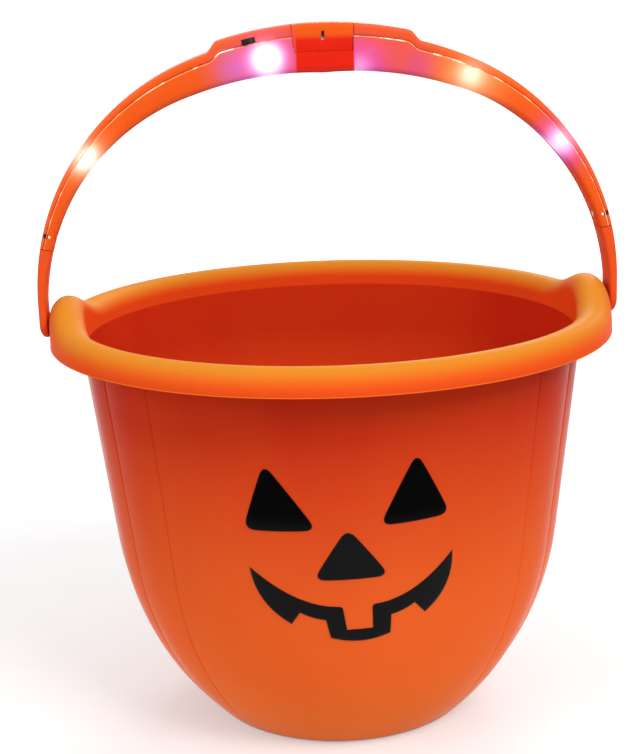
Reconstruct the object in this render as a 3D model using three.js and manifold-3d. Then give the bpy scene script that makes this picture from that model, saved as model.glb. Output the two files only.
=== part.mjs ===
// Light-up candy pail: an orange pumpkin pail with a face and a swinging handle that holds
// six battery-fed lights. Millimetres, +Z up. The pail stands on z = 0 around the Z axis,
// its face looks along -Y, and the handle swings about an axis parallel to X.

import * as THREE from 'three';
import { mergeVertices } from 'three/addons/utils/BufferGeometryUtils.js';
import Module from 'manifold-3d';

const wasm = await Module();
wasm.setup();

const radians = THREE.MathUtils.degToRad;

// Clearance between neighbouring pieces
const fitGap = 0.3;

// Pail wall and base
const pailWall = 1.6;
const mouthRadius = 96;
const rimEdgeHeight = 154;
const bowlTopRadius = 88;
const bowlTopHeight = 75;
const footRadius = 50;
const footRecess = 1.5;
const footRingWidth = 6;
const floorThickness = 1.8;

// Rolled rim with its two ears
const rimWidth = 14;
const rimRise = 9.5;
const rimInnerRise = 3;
const rimWall = 1.8;
const rimLip = 1;
const earRise = 8;
const earHalfAngle = radians(20);

// Upright creases in the sides of the pail
const creasesPerSide = 6;
const creasePitch = radians(17);
const creaseDepth = 0.7;
const creaseWidth = 2.2;
const creaseFadeHeight = 20;

// Face printed on the front, laid out on a flat x-z sheet that is wrapped on the pail. The print
// sits a little askew: it rises to the right and leans to the left.
const inkThickness = 0.25;
const faceCentreHeight = 79;
const faceRise = 0.038;
const faceLean = 0.087;
const eyeInner = 12.3;
const eyeTip = 26.8;
const eyeOuter = 36;
const eyeBottomHeight = 102.6;
const eyeTipHeight = 126.2;
const noseWidth = 25;
const noseBottomHeight = 82.9;
const noseTipHeight = 101;
const patchCorner = 2;

// Smile on the same sheet, whose corners are [distance from the middle, height]
const mouthTip = [36.8, 87];
const upperLip = [5.4, 71.5];
const toothCorner = [4.7, 61.8];
const lowerLip = [10.3, 59.2];
const lowerStep = [11.4, 66.6];
const fangRoot = [20.8, 69.8];
const fangTip = [24.2, 65.1];
const mouthBottomHeight = 55.6;

// Handle arch, measured up from the pivot axis: two side arcs and a flatter crown
const pivotAboveRimEdge = 9;
const legGap = 0.4;
const legThickness = 3;
const legWidth = 14;
const springHeight = 8;
const crownHeight = 107;
const crownEndAngle = radians(22.5);
const crownThickness = 15.6;
const seamHeight = 29;

// Handle shells
const shellWall = 1.4;
const splitShare = 0.25;
const channelCorner = 2.4;
const coverCorner = 1.6;
const coverInset = 0.25;

// Button cells, their contacts and their tray
const cellDiameter = 11.6;
const cellHeight = 5.4;
const cellEdge = 0.4;
const cellCapDiameter = 9.6;
const cellCapHeight = 0.7;
const cellCount = 3;
const cellRoofRoom = 0.9;
const cellSideRoom = 0.8;
const contactThickness = 0.4;
const contactSize = 7.2;
const contactArmWidth = 0.9;
const contactArmHeight = 1.4;
const contactArmReach = 1.2;
const trayWall = 0.8;
const trayPost = 3.2;
const trayBase = 2.5;
const trayFloorGap = 0.5;
const saddleShare = 0.55;

// Battery box on the crown, which reaches further to the switch's side, and its door
const boxMiddle = -3.3;
const boxTopHalfLength = 35.6;
const boxFootHalfLength = 41;
const doorOverlap = 0.1;
const doorFlapShare = 0.55;
const doorBackEdge = 4.6;
const latchSlotWidth = 1.2;
const latchSlotHeight = 3.4;

// Lights: the inner pair by distance from the middle, the other pairs by angle
const innerLightDistance = 20;
const outerLightAngles = [25.2, 53.2].map(radians);
const lightDiameter = 3;
const lightFlangeDiameter = 3.8;
const lightFlangeThickness = 1;
const lightLength = 5.4;
const lightPinSize = 0.5;
const lightPinPitch = 1.6;
const lightPinRoot = 0.3;
const lightPostLength = 3;
const lightPostWidth = 2;
const lightTipGap = 0.5;

// Circuit board and switch
const boardDistance = -30;
const boardLength = 13;
const boardSideRoom = 1;
const boardThickness = 1;
const boardPostLength = 1.6;
const boardPostWidth = 4;
const boardPostInset = 1.2;
const switchLength = 7;
const switchWidth = 3.5;
const switchHeight = 2.6;
const switchShift = 2;
const switchHeadroom = 0.4;
const sliderLength = 2.6;
const sliderHeight = 1.5;
const sliderProud = 0.8;
const sliderRoot = 1.4;
const sliderTravel = 2;
const chipLength = 5;
const chipWidth = 3.9;
const chipHeight = 1.5;
const chipEdge = 1.5;

// Wires
const loomDiameter = 1.3;
const leadDiameter = 0.9;
const wireGap = 0.4;
const loomDipLength = 5;
const leadStep = 2;

// Fasteners and pivots
const screwDiameter = 1.5;
const screwHeadDiameter = 3.2;
const screwHeadHeight = 0.9;
const screwEdge = 0.3;
const screwHeadRoom = 0.45;
const legScrewAboveSeam = 5.2;
const doorScrewLength = 8;
const tongueLength = 11;
const tongueThickness = 1.5;
const tonguePointShare = 0.4;
const tongueTipShare = 0.25;
const pivotDiameter = 5;
const pivotHeadDiameter = 9;
const pivotHeadFlatDiameter = 6.3;
const pivotHeadHeight = 1.2;
const pivotHeadEdge = 0.5;
const pivotBarbDiameter = 6.4;
const pivotBarbTipDiameter = 3.5;
const pivotBarbLength = 2.6;
const pivotBarbEdge = 0.5;

// Pail sizes that follow
const bodyTopRadius = mouthRadius + pailWall;
const rimRadius = mouthRadius + rimWidth;
const crestRadius = mouthRadius + rimWidth / 2;
const crestHeight = rimEdgeHeight + rimRise;
const pivotHeight = rimEdgeHeight + pivotAboveRimEdge;

// Arch sizes that follow: both arcs are tangent where the crown ends
const legInnerFace = rimRadius + legGap;
const handleHalfSpan = legInnerFace + legThickness;
const archRise = crownHeight - springHeight;
const radiusStep = (handleHalfSpan - archRise) / (Math.sin(crownEndAngle) + Math.cos(crownEndAngle) - 1);
const sideArchCentre = radiusStep * Math.sin(crownEndAngle);
const sideArchRadius = handleHalfSpan - sideArchCentre;
const crownRadius = sideArchRadius + radiusStep;
const crownCentre = crownHeight - crownRadius;
const seamAngle = Math.acos((seamHeight - springHeight) / sideArchRadius);
const legScrewAngle = seamAngle - legScrewAboveSeam / sideArchRadius;

// Battery box sizes that follow from the cells
const cellRadius = cellDiameter / 2;
const cellHeadroom = shellWall + cellRoofRoom;
const cellDepth = cellHeadroom + cellRadius;
const trayBottomDepth = cellHeadroom + cellDiameter + fitGap + trayBase;
const boxThickness = trayBottomDepth + trayFloorGap + shellWall;
const boxRaise = boxThickness - crownThickness;
const crownWidth = cellDiameter + 2 * (cellSideRoom + shellWall);
const channelHalfWidth = crownWidth / 2 - shellWall;
const cellsLength = cellCount * cellHeight + (cellCount - 1) * fitGap;
const contactRoom = contactThickness + 2 * fitGap;
const trayLength = trayWall + contactRoom + cellsLength + contactRoom + trayPost;
const trayLeft = -trayLength / 2;
const trayRight = trayLength / 2;
const trayHalfWidth = channelHalfWidth - coverInset - fitGap;
const saddleHalfWidth = channelHalfWidth - loomDiameter - 3 * fitGap;
const trayWireRoom = 2 * loomDiameter;
const cellsLeft = trayLeft + trayWall + contactRoom;
const cellsRight = cellsLeft + cellsLength;
const doorHalfLength = trayLength / 2 + doorOverlap;
const doorAngle = angleAt(doorHalfLength);
const doorScrewAngle = angleAt(trayRight - trayPost / 2);
const gapAngle = fitGap / crownRadius;

// Places of the lights, the board and the switch
const rightLightAngles = [angleAt(innerLightDistance), ...outerLightAngles];
const lightAngles = [...rightLightAngles.map((angle) => -angle).reverse(), ...rightLightAngles];
const boardAngle = angleAt(boardDistance);
const boardWidth = 2 * (channelHalfWidth - boardSideRoom);
const boardDepth = shellWall + switchHeadroom + switchHeight + fitGap;
const switchDepth = boardDepth - fitGap - switchHeight / 2;

// Turns a closed geometry into a solid that can be cut and joined
function solidFrom(geometry) {
  const bare = geometry.clone();
  for (const name of ['normal', 'uv']) bare.deleteAttribute(name);
  const merged = mergeVertices(bare, 1e-4);
  return new wasm.Manifold(new wasm.Mesh({
    numProp: 3,
    vertProperties: new Float32Array(merged.attributes.position.array),
    triVerts: new Uint32Array(merged.index.array),
  }));
}

// Turns a solid back into a geometry
function geometryFrom(solid) {
  const mesh = solid.getMesh();
  const geometry = new THREE.BufferGeometry();
  geometry.setAttribute('position', new THREE.BufferAttribute(mesh.vertProperties, 3));
  geometry.setIndex(new THREE.BufferAttribute(mesh.triVerts, 1));
  geometry.computeVertexNormals();
  return geometry;
}

// First geometry without the others
function cut(geometry, ...tools) {
  const remove = (rest, tool) => rest.subtract(solidFrom(tool));
  return geometryFrom(tools.reduce(remove, solidFrom(geometry)));
}

// All geometries as one
function join(...geometries) {
  return geometryFrom(geometries.map(solidFrom).reduce((sum, solid) => sum.add(solid)));
}

// What all geometries share
function common(...geometries) {
  return geometryFrom(geometries.map(solidFrom).reduce((sum, solid) => sum.intersect(solid)));
}

// Closed geometry from points and triangles, with its faces turned outwards
function closedGeometry(points, triangles) {
  let volume = 0;
  for (const [a, b, c] of triangles) {
    volume += points[a].dot(new THREE.Vector3().crossVectors(points[b], points[c]));
  }
  const facing = volume < 0 ? triangles.map(([a, b, c]) => [a, c, b]) : triangles;
  const geometry = new THREE.BufferGeometry().setFromPoints(points);
  geometry.setIndex(facing.flat());
  geometry.computeVertexNormals();
  return geometry;
}

// Solid through equal sections along a line of stations, with flat ends
function loft(stations, sectionAt, place) {
  const sections = stations.map(sectionAt);
  const count = sections[0].length;
  const points = sections.flatMap((section, i) => section.map(([a, b]) => place(stations[i], a, b)));
  const triangles = [];
  for (let i = 0; i + 1 < stations.length; i += 1) {
    for (let j = 0; j < count; j += 1) {
      const a = i * count + j;
      const b = i * count + ((j + 1) % count);
      triangles.push([a, b, b + count], [a, b + count, a + count]);
    }
  }
  const endCap = (section, first, flip) => {
    const outline = section.map(([a, b]) => new THREE.Vector2(a, b));
    const turn = THREE.ShapeUtils.isClockWise(outline);
    if (turn) outline.reverse();
    const back = (index) => first + (turn ? count - 1 - index : index);
    for (const [a, b, c] of THREE.ShapeUtils.triangulateShape(outline, [])) {
      const face = [back(a), back(b), back(c)];
      triangles.push(flip === turn ? face.reverse() : face);
    }
  };
  endCap(sections[0], 0, false);
  endCap(sections.at(-1), (stations.length - 1) * count, true);
  return closedGeometry(points, triangles);
}

// Round tube along a smooth line
function tube(points, diameter, steps, sides) {
  const circle = new THREE.Shape();
  for (let i = 0; i < sides; i += 1) {
    const turn = (2 * Math.PI * i) / sides;
    const [a, b] = [Math.cos(turn) * diameter / 2, Math.sin(turn) * diameter / 2];
    if (i === 0) circle.moveTo(a, b);
    else circle.lineTo(a, b);
  }
  circle.closePath();
  const extrudePath = new THREE.CatmullRomCurve3(points, false, 'centripetal');
  return new THREE.ExtrudeGeometry(circle, { steps, extrudePath, bevelEnabled: false });
}

// Turned piece whose axis runs along X, from a profile of [radius, x] pairs
function turnedAlongX(profile, segments) {
  const outline = profile.map(([radius, along]) => new THREE.Vector2(radius, along));
  return new THREE.LatheGeometry(outline, segments).rotateZ(-Math.PI / 2);
}

// Turned piece whose axis runs along Y, from a profile of [radius, y] pairs
function turnedAlongY(profile, segments) {
  const outline = profile.map(([radius, along]) => new THREE.Vector2(radius, along));
  return new THREE.LatheGeometry(outline, segments);
}

// Height that an ear adds to the rim at an angle around the pail, measured from +X
function earLift(angle) {
  const fromSide = Math.asin(Math.abs(Math.sin(angle)));
  if (fromSide >= earHalfAngle) return 0;
  return (earRise / 2) * (1 + Math.cos((Math.PI * fromSide) / earHalfAngle));
}

// Angles of the creases around the pail
function creaseAngles() {
  const angles = [];
  for (const side of [0, Math.PI]) {
    for (let i = 0; i < creasesPerSide; i += 1) {
      angles.push(side + (i - (creasesPerSide - 1) / 2) * creasePitch);
    }
  }
  return angles;
}

// Columns of the pail around its axis: even steps, and three lines for each crease
function pailColumns() {
  const evenStep = radians(6);
  const halfCrease = creaseWidth / 2 / bowlTopRadius;
  const creases = creaseAngles();
  const turn = 2 * Math.PI;
  const distance = (a, b) => Math.abs(((a - b + 5 * Math.PI) % turn) - Math.PI);
  const columns = creases.flatMap((angle) => [
    { angle: angle - halfCrease, crease: 0 },
    { angle, crease: creaseDepth },
    { angle: angle + halfCrease, crease: 0 },
  ]);
  for (let angle = 0; angle < turn - evenStep / 2; angle += evenStep) {
    if (creases.every((crease) => distance(angle, crease) > 2 * halfCrease)) {
      columns.push({ angle, crease: 0 });
    }
  }
  for (const column of columns) column.angle = (column.angle + turn) % turn;
  return columns.sort((a, b) => a.angle - b.angle);
}

// Round lower part of the pail: one arc, tangent to the taper above it, that ends at the foot
function bowlArc() {
  const taper = Math.atan2(bodyTopRadius - bowlTopRadius, rimEdgeHeight - bowlTopHeight);
  const across = bowlTopRadius - footRadius;
  const radius = (across ** 2 + bowlTopHeight ** 2)
    / (2 * (across * Math.cos(taper) - bowlTopHeight * Math.sin(taper)));
  return {
    radius,
    centreRadius: bowlTopRadius - radius * Math.cos(taper),
    centreHeight: bowlTopHeight + radius * Math.sin(taper),
    topAngle: -taper,
  };
}

// Points of an arc as [radius, height] pairs, both ends included
function arcPoints(centre, radii, from, to, steps) {
  const points = [];
  for (let i = 0; i <= steps; i += 1) {
    const angle = from + ((to - from) * i) / steps;
    points.push([centre[0] + radii[0] * Math.cos(angle), centre[1] + radii[1] * Math.sin(angle)]);
  }
  return points;
}

// Outer wall of the pail from the foot to the taper's top, moved out by an offset
function outerWall(offset, crease) {
  const bowl = bowlArc();
  const centre = [bowl.centreRadius, bowl.centreHeight];
  const footAngle = -Math.asin(bowl.centreHeight / bowl.radius);
  const radius = bowl.radius + offset;
  const wall = arcPoints(centre, [radius, radius], footAngle, bowl.topAngle, 8);
  wall.push([bodyTopRadius + offset, rimEdgeHeight]);
  return wall.map(([r, z]) => [r - crease * THREE.MathUtils.clamp(z / creaseFadeHeight, 0, 1), z]);
}

// Closed outline of the pail's section at one angle, from the axis under the base to the axis
// on the floor, as [radius, height] pairs
function pailOutline({ angle, crease }) {
  const bowl = bowlArc();
  const lift = earLift(angle);
  const quarter = Math.PI / 2;
  const shoulder = rimEdgeHeight + rimInnerRise + lift;
  const crest = crestHeight + lift;
  const floorHeight = footRecess + floorThickness;
  const innerRadius = bowl.radius - pailWall;
  const floorAngle = -Math.asin((bowl.centreHeight - floorHeight) / innerRadius);
  const hollowCrest = crest - rimWall;
  const lipTop = rimEdgeHeight + rimLip + lift;
  const shoulderCentre = [crestRadius, shoulder];
  const lipCentre = [crestRadius, lipTop];
  return [
    [0, footRecess],
    [footRadius - footRingWidth, footRecess],
    [footRadius - footRingWidth + footRecess, 0],
    ...outerWall(0, crease),
    ...arcPoints(shoulderCentre, [crestRadius - bodyTopRadius, hollowCrest - shoulder],
      2 * quarter, quarter, 3),
    ...arcPoints(lipCentre, [rimRadius - rimWall - crestRadius, hollowCrest - lipTop],
      quarter, 0, 4).slice(1),
    [rimRadius - rimWall, rimEdgeHeight],
    [rimRadius, rimEdgeHeight],
    ...arcPoints(lipCentre, [rimRadius - crestRadius, crest - lipTop], 0, quarter, 6),
    ...arcPoints(shoulderCentre, [crestRadius - mouthRadius, crest - shoulder],
      quarter, 2 * quarter, 4).slice(1),
    [mouthRadius, rimEdgeHeight],
    ...arcPoints([bowl.centreRadius, bowl.centreHeight], [innerRadius, innerRadius],
      bowl.topAngle, floorAngle, 7),
    [0, floorHeight],
  ];
}

// Solid whose section, an outline from the axis back to the axis, may change around the axis
function turnedSolid(columns, outlineAt) {
  const outlines = columns.map(outlineAt);
  const rows = outlines[0].length;
  const points = [
    new THREE.Vector3(0, 0, outlines[0][0][1]),
    new THREE.Vector3(0, 0, outlines[0][rows - 1][1]),
  ];
  const inner = rows - 2;
  outlines.forEach((outline, i) => {
    const { angle } = columns[i];
    for (const [r, z] of outline.slice(1, -1)) {
      points.push(new THREE.Vector3(r * Math.cos(angle), r * Math.sin(angle), z));
    }
  });
  const triangles = [];
  for (let i = 0; i < columns.length; i += 1) {
    const a = 2 + i * inner;
    const b = 2 + ((i + 1) % columns.length) * inner;
    triangles.push([0, b, a], [1, a + inner - 1, b + inner - 1]);
    for (let j = 0; j + 1 < inner; j += 1) {
      triangles.push([a + j, b + j, b + j + 1], [a + j, b + j + 1, a + j + 1]);
    }
  }
  return closedGeometry(points, triangles);
}

// Bore along X with room for a piece of a pivot, centred at a place
function pivotBore(diameter, length, x, z) {
  const radius = diameter / 2 + fitGap;
  return new THREE.CylinderGeometry(radius, radius, length, 16)
    .rotateZ(Math.PI / 2).translate(x, 0, z);
}

function pail() {
  const body = turnedSolid(pailColumns(), pailOutline);
  const bores = [-1, 1].map((side) => (
    pivotBore(pivotDiameter, rimWidth, side * rimRadius, pivotHeight)));
  return cut(body, ...bores);
}

// Solid inside the pail's outer wall moved out by an offset
function pailEnvelope(offset) {
  return turnedSolid(pailColumns(), () => {
    const wall = outerWall(offset, 0);
    return [[0, wall[0][1]], ...wall, [0, rimEdgeHeight]];
  });
}

// Thin patch of ink on the front of the pail from its outline on the flat x-z sheet
function inkPatch(shape) {
  const askew = new THREE.Matrix4().makeTranslation(0, 0, faceCentreHeight)
    .multiply(new THREE.Matrix4().makeShear(0, faceRise, 0, 0, -faceLean, 0))
    .multiply(new THREE.Matrix4().makeTranslation(0, 0, -faceCentreHeight));
  const sheet = new THREE.ExtrudeGeometry(shape, {
    depth: bodyTopRadius, bevelEnabled: false, curveSegments: 4,
  }).rotateX(Math.PI / 2).applyMatrix4(askew);
  const skin = cut(pailEnvelope(fitGap + inkThickness), pailEnvelope(fitGap));
  return common(skin, sheet);
}

// Polygon with its corners rounded, from [x, z] points
function roundedPolygon(corners, radius) {
  const shape = new THREE.Shape();
  const points = corners.map(([x, z]) => new THREE.Vector2(x, z));
  points.forEach((corner, i) => {
    const before = points[(i + points.length - 1) % points.length];
    const after = points[(i + 1) % points.length];
    const start = corner.clone().add(before.clone().sub(corner).setLength(radius));
    const end = corner.clone().add(after.clone().sub(corner).setLength(radius));
    if (i === 0) shape.moveTo(start.x, start.y);
    else shape.lineTo(start.x, start.y);
    shape.quadraticCurveTo(corner.x, corner.y, end.x, end.y);
  });
  shape.closePath();
  return shape;
}

// Eye on one side: a triangle whose tip leans outwards
function eye(side) {
  return inkPatch(roundedPolygon([
    [side * eyeInner, eyeBottomHeight],
    [side * eyeOuter, eyeBottomHeight],
    [side * eyeTip, eyeTipHeight],
  ], patchCorner));
}

function nose() {
  return inkPatch(roundedPolygon([
    [-noseWidth / 2, noseBottomHeight],
    [noseWidth / 2, noseBottomHeight],
    [0, noseTipHeight],
  ], patchCorner));
}

// Smile: an upper and a lower curve between two tips, with one tooth cut from above in the
// middle and one fang on each side of the lower curve
function mouth() {
  const left = ([x, z]) => [-x, z];
  const halfway = (a, b, lower) => [(a[0] + b[0]) / 2, (a[1] + b[1]) / 2 - lower];
  const shape = new THREE.Shape();
  const curveTo = (bend, end) => shape.quadraticCurveTo(...bend, ...end);
  const upperBend = halfway(mouthTip, upperLip, 5.8);
  const cheekBend = halfway(mouthTip, fangTip, 2.2);
  cheekBend[0] += 4.6;
  const stepBend = halfway(fangRoot, lowerStep, 1.1);
  shape.moveTo(...left(mouthTip));
  curveTo(left(upperBend), left(upperLip));
  shape.lineTo(...left(toothCorner));
  shape.lineTo(...toothCorner);
  shape.lineTo(...upperLip);
  curveTo(upperBend, mouthTip);
  curveTo(cheekBend, fangTip);
  shape.lineTo(...fangRoot);
  curveTo(stepBend, lowerStep);
  shape.lineTo(...lowerLip);
  curveTo([0, mouthBottomHeight], left(lowerLip));
  shape.lineTo(...left(lowerStep));
  curveTo(left(stepBend), left(fangRoot));
  shape.lineTo(...left(fangTip));
  curveTo(left(cheekBend), left(mouthTip));
  shape.closePath();
  return inkPatch(shape);
}

// Point of the handle at an angle from the crown, a depth in from the outer line and a place
// across the handle. The pivot axis is at height 0.
function inHandle(angle, depth, across) {
  const away = Math.abs(angle);
  const onCrown = away < crownEndAngle;
  const radius = (onCrown ? crownRadius : sideArchRadius) + raiseAt(angle) - depth;
  const x = (onCrown ? 0 : sideArchCentre) + radius * Math.sin(away);
  const z = (onCrown ? crownCentre : springHeight) + radius * Math.cos(away);
  return new THREE.Vector3(Math.sign(angle) * x, across, z);
}

// Distance of the plain arch's outer line from the middle at an angle from the crown
function distanceAt(angle) {
  const away = Math.abs(angle);
  return away < crownEndAngle
    ? crownRadius * Math.sin(away)
    : sideArchCentre + sideArchRadius * Math.sin(away);
}

// Angle from the crown at which the outer line lies at a distance from the middle
function angleAt(distance) {
  const away = Math.abs(distance);
  const angle = away < crownRadius * Math.sin(crownEndAngle)
    ? Math.asin(away / crownRadius)
    : Math.asin((away - sideArchCentre) / sideArchRadius);
  return Math.sign(distance) * angle;
}

// Height of the battery box over the plain arch
function raiseAt(angle) {
  const ramp = boxFootHalfLength - boxTopHalfLength;
  const fromMiddle = Math.abs(Math.sign(angle) * distanceAt(angle) - boxMiddle);
  return boxRaise * THREE.MathUtils.clamp((boxFootHalfLength - fromMiddle) / ramp, 0, 1);
}

// Size of the handle's section at an angle from the crown, and the depth of the shells' seam
function sectionSize(angle) {
  const share = Math.abs(angle) / (Math.PI / 2);
  const thickness = THREE.MathUtils.lerp(crownThickness, legThickness, share) + raiseAt(angle);
  const width = THREE.MathUtils.lerp(crownWidth, legWidth, share);
  const split = splitShare * thickness;
  const roof = Math.min(shellWall, 0.8 * split);
  const floor = thickness - shellWall;
  return { thickness, width, split, roof, floor, middle: (roof + floor) / 2 };
}

// Angles along the handle between two limits, with the ends of the battery box's ramps
function handleStations(from, to, step) {
  const rampEnds = [boxTopHalfLength, boxFootHalfLength]
    .flatMap((reach) => [boxMiddle - reach, boxMiddle + reach])
    .map(angleAt);
  const stations = [from, to];
  for (const angle of rampEnds) {
    if (angle > from + step / 3 && angle < to - step / 3) stations.push(angle);
  }
  const count = Math.max(1, Math.round((to - from) / step));
  for (let i = 1; i < count; i += 1) {
    const angle = from + ((to - from) * i) / count;
    if (stations.every((other) => Math.abs(other - angle) > step / 3)) stations.push(angle);
  }
  return stations.sort((a, b) => a - b);
}

// Corner of a section as [depth, across] pairs, from one straight side to the next
function sectionCorner(depth, across, depthSign, acrossSign, radius, fromDepthSide) {
  const steps = 3;
  const corner = [];
  for (let i = 0; i <= steps; i += 1) {
    const turn = ((fromDepthSide ? i : steps - i) / steps) * (Math.PI / 2);
    corner.push([
      depth - depthSign * radius * (1 - Math.sin(turn)),
      across - acrossSign * radius * (1 - Math.cos(turn)),
    ]);
  }
  return corner;
}

// Lower shell of the handle: a channel, open outwards
function channelSection(angle) {
  const { thickness, width, split, floor } = sectionSize(angle);
  const half = width / 2;
  const edge = split + fitGap / 2;
  const corner = Math.min(channelCorner, 0.45 * (thickness - split));
  return [
    [edge, -half],
    ...sectionCorner(thickness, -half, 1, -1, corner, true),
    ...sectionCorner(thickness, half, 1, 1, corner, false),
    [edge, half],
    [edge, half - shellWall],
    [floor, half - shellWall],
    [floor, -half + shellWall],
    [edge, -half + shellWall],
  ];
}

// Upper shell of the handle: a cover, open inwards, a little narrower than the channel
function coverSection(angle) {
  const { width, split, roof } = sectionSize(angle);
  const half = width / 2 - coverInset;
  const edge = split - fitGap / 2;
  const corner = Math.min(coverCorner, 0.7 * edge);
  return [
    [edge, -half],
    ...sectionCorner(0, -half, -1, -1, corner, true),
    ...sectionCorner(0, half, -1, 1, corner, false),
    [edge, half],
    [edge, half - shellWall],
    [roof, half - shellWall],
    [roof, -half + shellWall],
    [edge, -half + shellWall],
  ];
}

// Battery door: its roof runs from the front edge nearly to the back, and its flap covers the
// upper part of the front
function doorSection(angle) {
  const { thickness, width, roof } = sectionSize(angle);
  const half = width / 2;
  return [
    [doorFlapShare * thickness, -half],
    ...sectionCorner(0, -half, -1, -1, coverCorner, true),
    [0, doorBackEdge],
    [roof, doorBackEdge],
    [roof, -half + shellWall],
    [doorFlapShare * thickness, -half + shellWall],
  ];
}

// Room that the door needs in both shells
function doorRoomSection(angle) {
  const { thickness, width, split } = sectionSize(angle);
  const outside = 2 * shellWall;
  const front = -width / 2 - outside;
  const flapBack = -width / 2 + shellWall + fitGap;
  return [
    [-outside, front],
    [-outside, doorBackEdge + fitGap],
    [split + fitGap / 2, doorBackEdge + fitGap],
    [split + fitGap / 2, flapBack],
    [doorFlapShare * thickness + fitGap, flapBack],
    [doorFlapShare * thickness + fitGap, front],
  ];
}

function doorRoom() {
  const end = doorAngle + gapAngle;
  return loft(handleStations(-end, end, radians(3)), doorRoomSection, inHandle);
}

// Turns and places a piece that was made around the origin, with its X along the handle, its Y
// across it and its Z pointing out, at an angle from the crown and a depth in the handle
function toHandle(geometry, angle, depth, across) {
  const place = inHandle(angle, depth, across);
  return geometry.rotateY(angle).translate(place.x, place.y, place.z);
}

// Upright block for toHandle between two depths
function blockInHandle(length, width, fromDepth, toDepth, angle, across) {
  const block = new THREE.BoxGeometry(length, width, toDepth - fromDepth);
  return toHandle(block, angle, (fromDepth + toDepth) / 2, across);
}

// Post in the channel under a light, which carries the light's round body
function lightPost(angle) {
  const { floor, middle, width } = sectionSize(angle);
  const top = middle + lightDiameter / 2 + fitGap;
  const front = -width / 2 + shellWall + lightTipGap;
  return blockInHandle(lightPostLength, lightPostWidth, top, floor + shellWall / 2, angle,
    front + (lightLength - lightFlangeThickness) / 2);
}

// Posts in the channel under the two ends of the circuit board
function boardPosts() {
  const reach = (boardLength / 2 - boardPostInset) / (crownRadius - boardDepth);
  const top = boardDepth + boardThickness + fitGap;
  return [-1, 1].map((end) => {
    const angle = boardAngle + end * reach;
    const shift = raiseAt(angle) - raiseAt(boardAngle);
    const root = sectionSize(angle).floor + shellWall / 2;
    return blockInHandle(boardPostLength, boardPostWidth, top + shift, root, angle, 0);
  });
}

// Screw hole across the handle's thickness at a leg
function legScrewBore(side, diameter, fromDepth, toDepth) {
  const bore = new THREE.CylinderGeometry(diameter / 2, diameter / 2, toDepth - fromDepth, 12)
    .rotateX(Math.PI / 2);
  return toHandle(bore, side * legScrewAngle, (fromDepth + toDepth) / 2, 0);
}

function handleInnerShell() {
  const stations = handleStations(-seamAngle, seamAngle, radians(4.5));
  const shell = loft(stations, channelSection, inHandle);
  const posts = [...lightAngles.map(lightPost), ...boardPosts()];
  const { thickness } = sectionSize(legScrewAngle);
  const recess = thickness - screwHeadHeight;
  const bores = [-1, 1].flatMap((side) => [
    legScrewBore(side, screwDiameter + 2 * fitGap, 0, thickness + 1),
    legScrewBore(side, screwHeadDiameter + 2 * fitGap, recess, thickness + 1),
  ]);
  return cut(join(shell, ...posts), doorRoom(), sliderSlot(), ...bores);
}

function handleOuterShell() {
  const stations = handleStations(-seamAngle, seamAngle, radians(4.5));
  const shell = loft(stations, coverSection, inHandle);
  return cut(shell, doorRoom(), sliderSlot());
}

// Slot in the front of the shells for the switch's slider, open to their seam
function sliderSlot() {
  const { width, split } = sectionSize(boardAngle);
  const half = sliderHeight / 2 + fitGap;
  const top = switchDepth - half;
  const bottom = Math.max(switchDepth + half, split);
  const length = sliderLength + sliderTravel + 2 * fitGap;
  const slot = new THREE.BoxGeometry(length, 3 * shellWall, bottom - top).translate(switchShift, 0, 0);
  return toHandle(slot, boardAngle, (top + bottom) / 2, -width / 2);
}

function batteryDoor() {
  const door = loft(handleStations(-doorAngle, doorAngle, radians(3)), doorSection, inHandle);
  const { width, split } = sectionSize(0);
  const latchSlot = toHandle(
    new THREE.BoxGeometry(latchSlotWidth, 3 * shellWall, latchSlotHeight), 0, split, -width / 2);
  return cut(door, latchSlot, doorScrewRoom());
}

// Upright turned piece at the door's screw, from [radius, height over the outer line] pairs
function turnedAtDoorScrew(profile) {
  const outline = profile.map(([radius, height]) => new THREE.Vector2(radius, height));
  const { x, z } = inHandle(doorScrewAngle, 0, 0);
  return new THREE.LatheGeometry(outline, 16).rotateX(Math.PI / 2).translate(x, 0, z);
}

// Countersunk screw that holds the battery door to the tray's post
function doorScrew() {
  return turnedAtDoorScrew([
    [0, -doorScrewLength],
    [screwDiameter / 2, -doorScrewLength],
    [screwDiameter / 2, -screwHeadHeight],
    [screwHeadDiameter / 2, 0],
    [0, 0],
  ].map(([radius, height]) => [radius, height - fitGap / 2]));
}

// Room for the door's screw in the door and in the tray's post
function doorScrewRoom() {
  const shank = screwDiameter / 2 + fitGap;
  const head = screwHeadDiameter / 2 + screwHeadRoom;
  return turnedAtDoorScrew([
    [0, -doorScrewLength - 2 * fitGap],
    [shank, -doorScrewLength - 2 * fitGap],
    [shank, -screwHeadHeight - fitGap],
    [head, 0],
    [head, 1],
    [0, 1],
  ]);
}

// Piece of the battery compartment, made with X along the handle and Z down from the outer line
function inCompartment(geometry) {
  return geometry.translate(0, 0, crownHeight + boxRaise);
}

function compartmentBlock(fromX, toX, width, fromDepth, toDepth, across = 0) {
  const block = new THREE.BoxGeometry(toX - fromX, width, toDepth - fromDepth);
  return inCompartment(block.translate((fromX + toX) / 2, across, -(fromDepth + toDepth) / 2));
}

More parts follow.
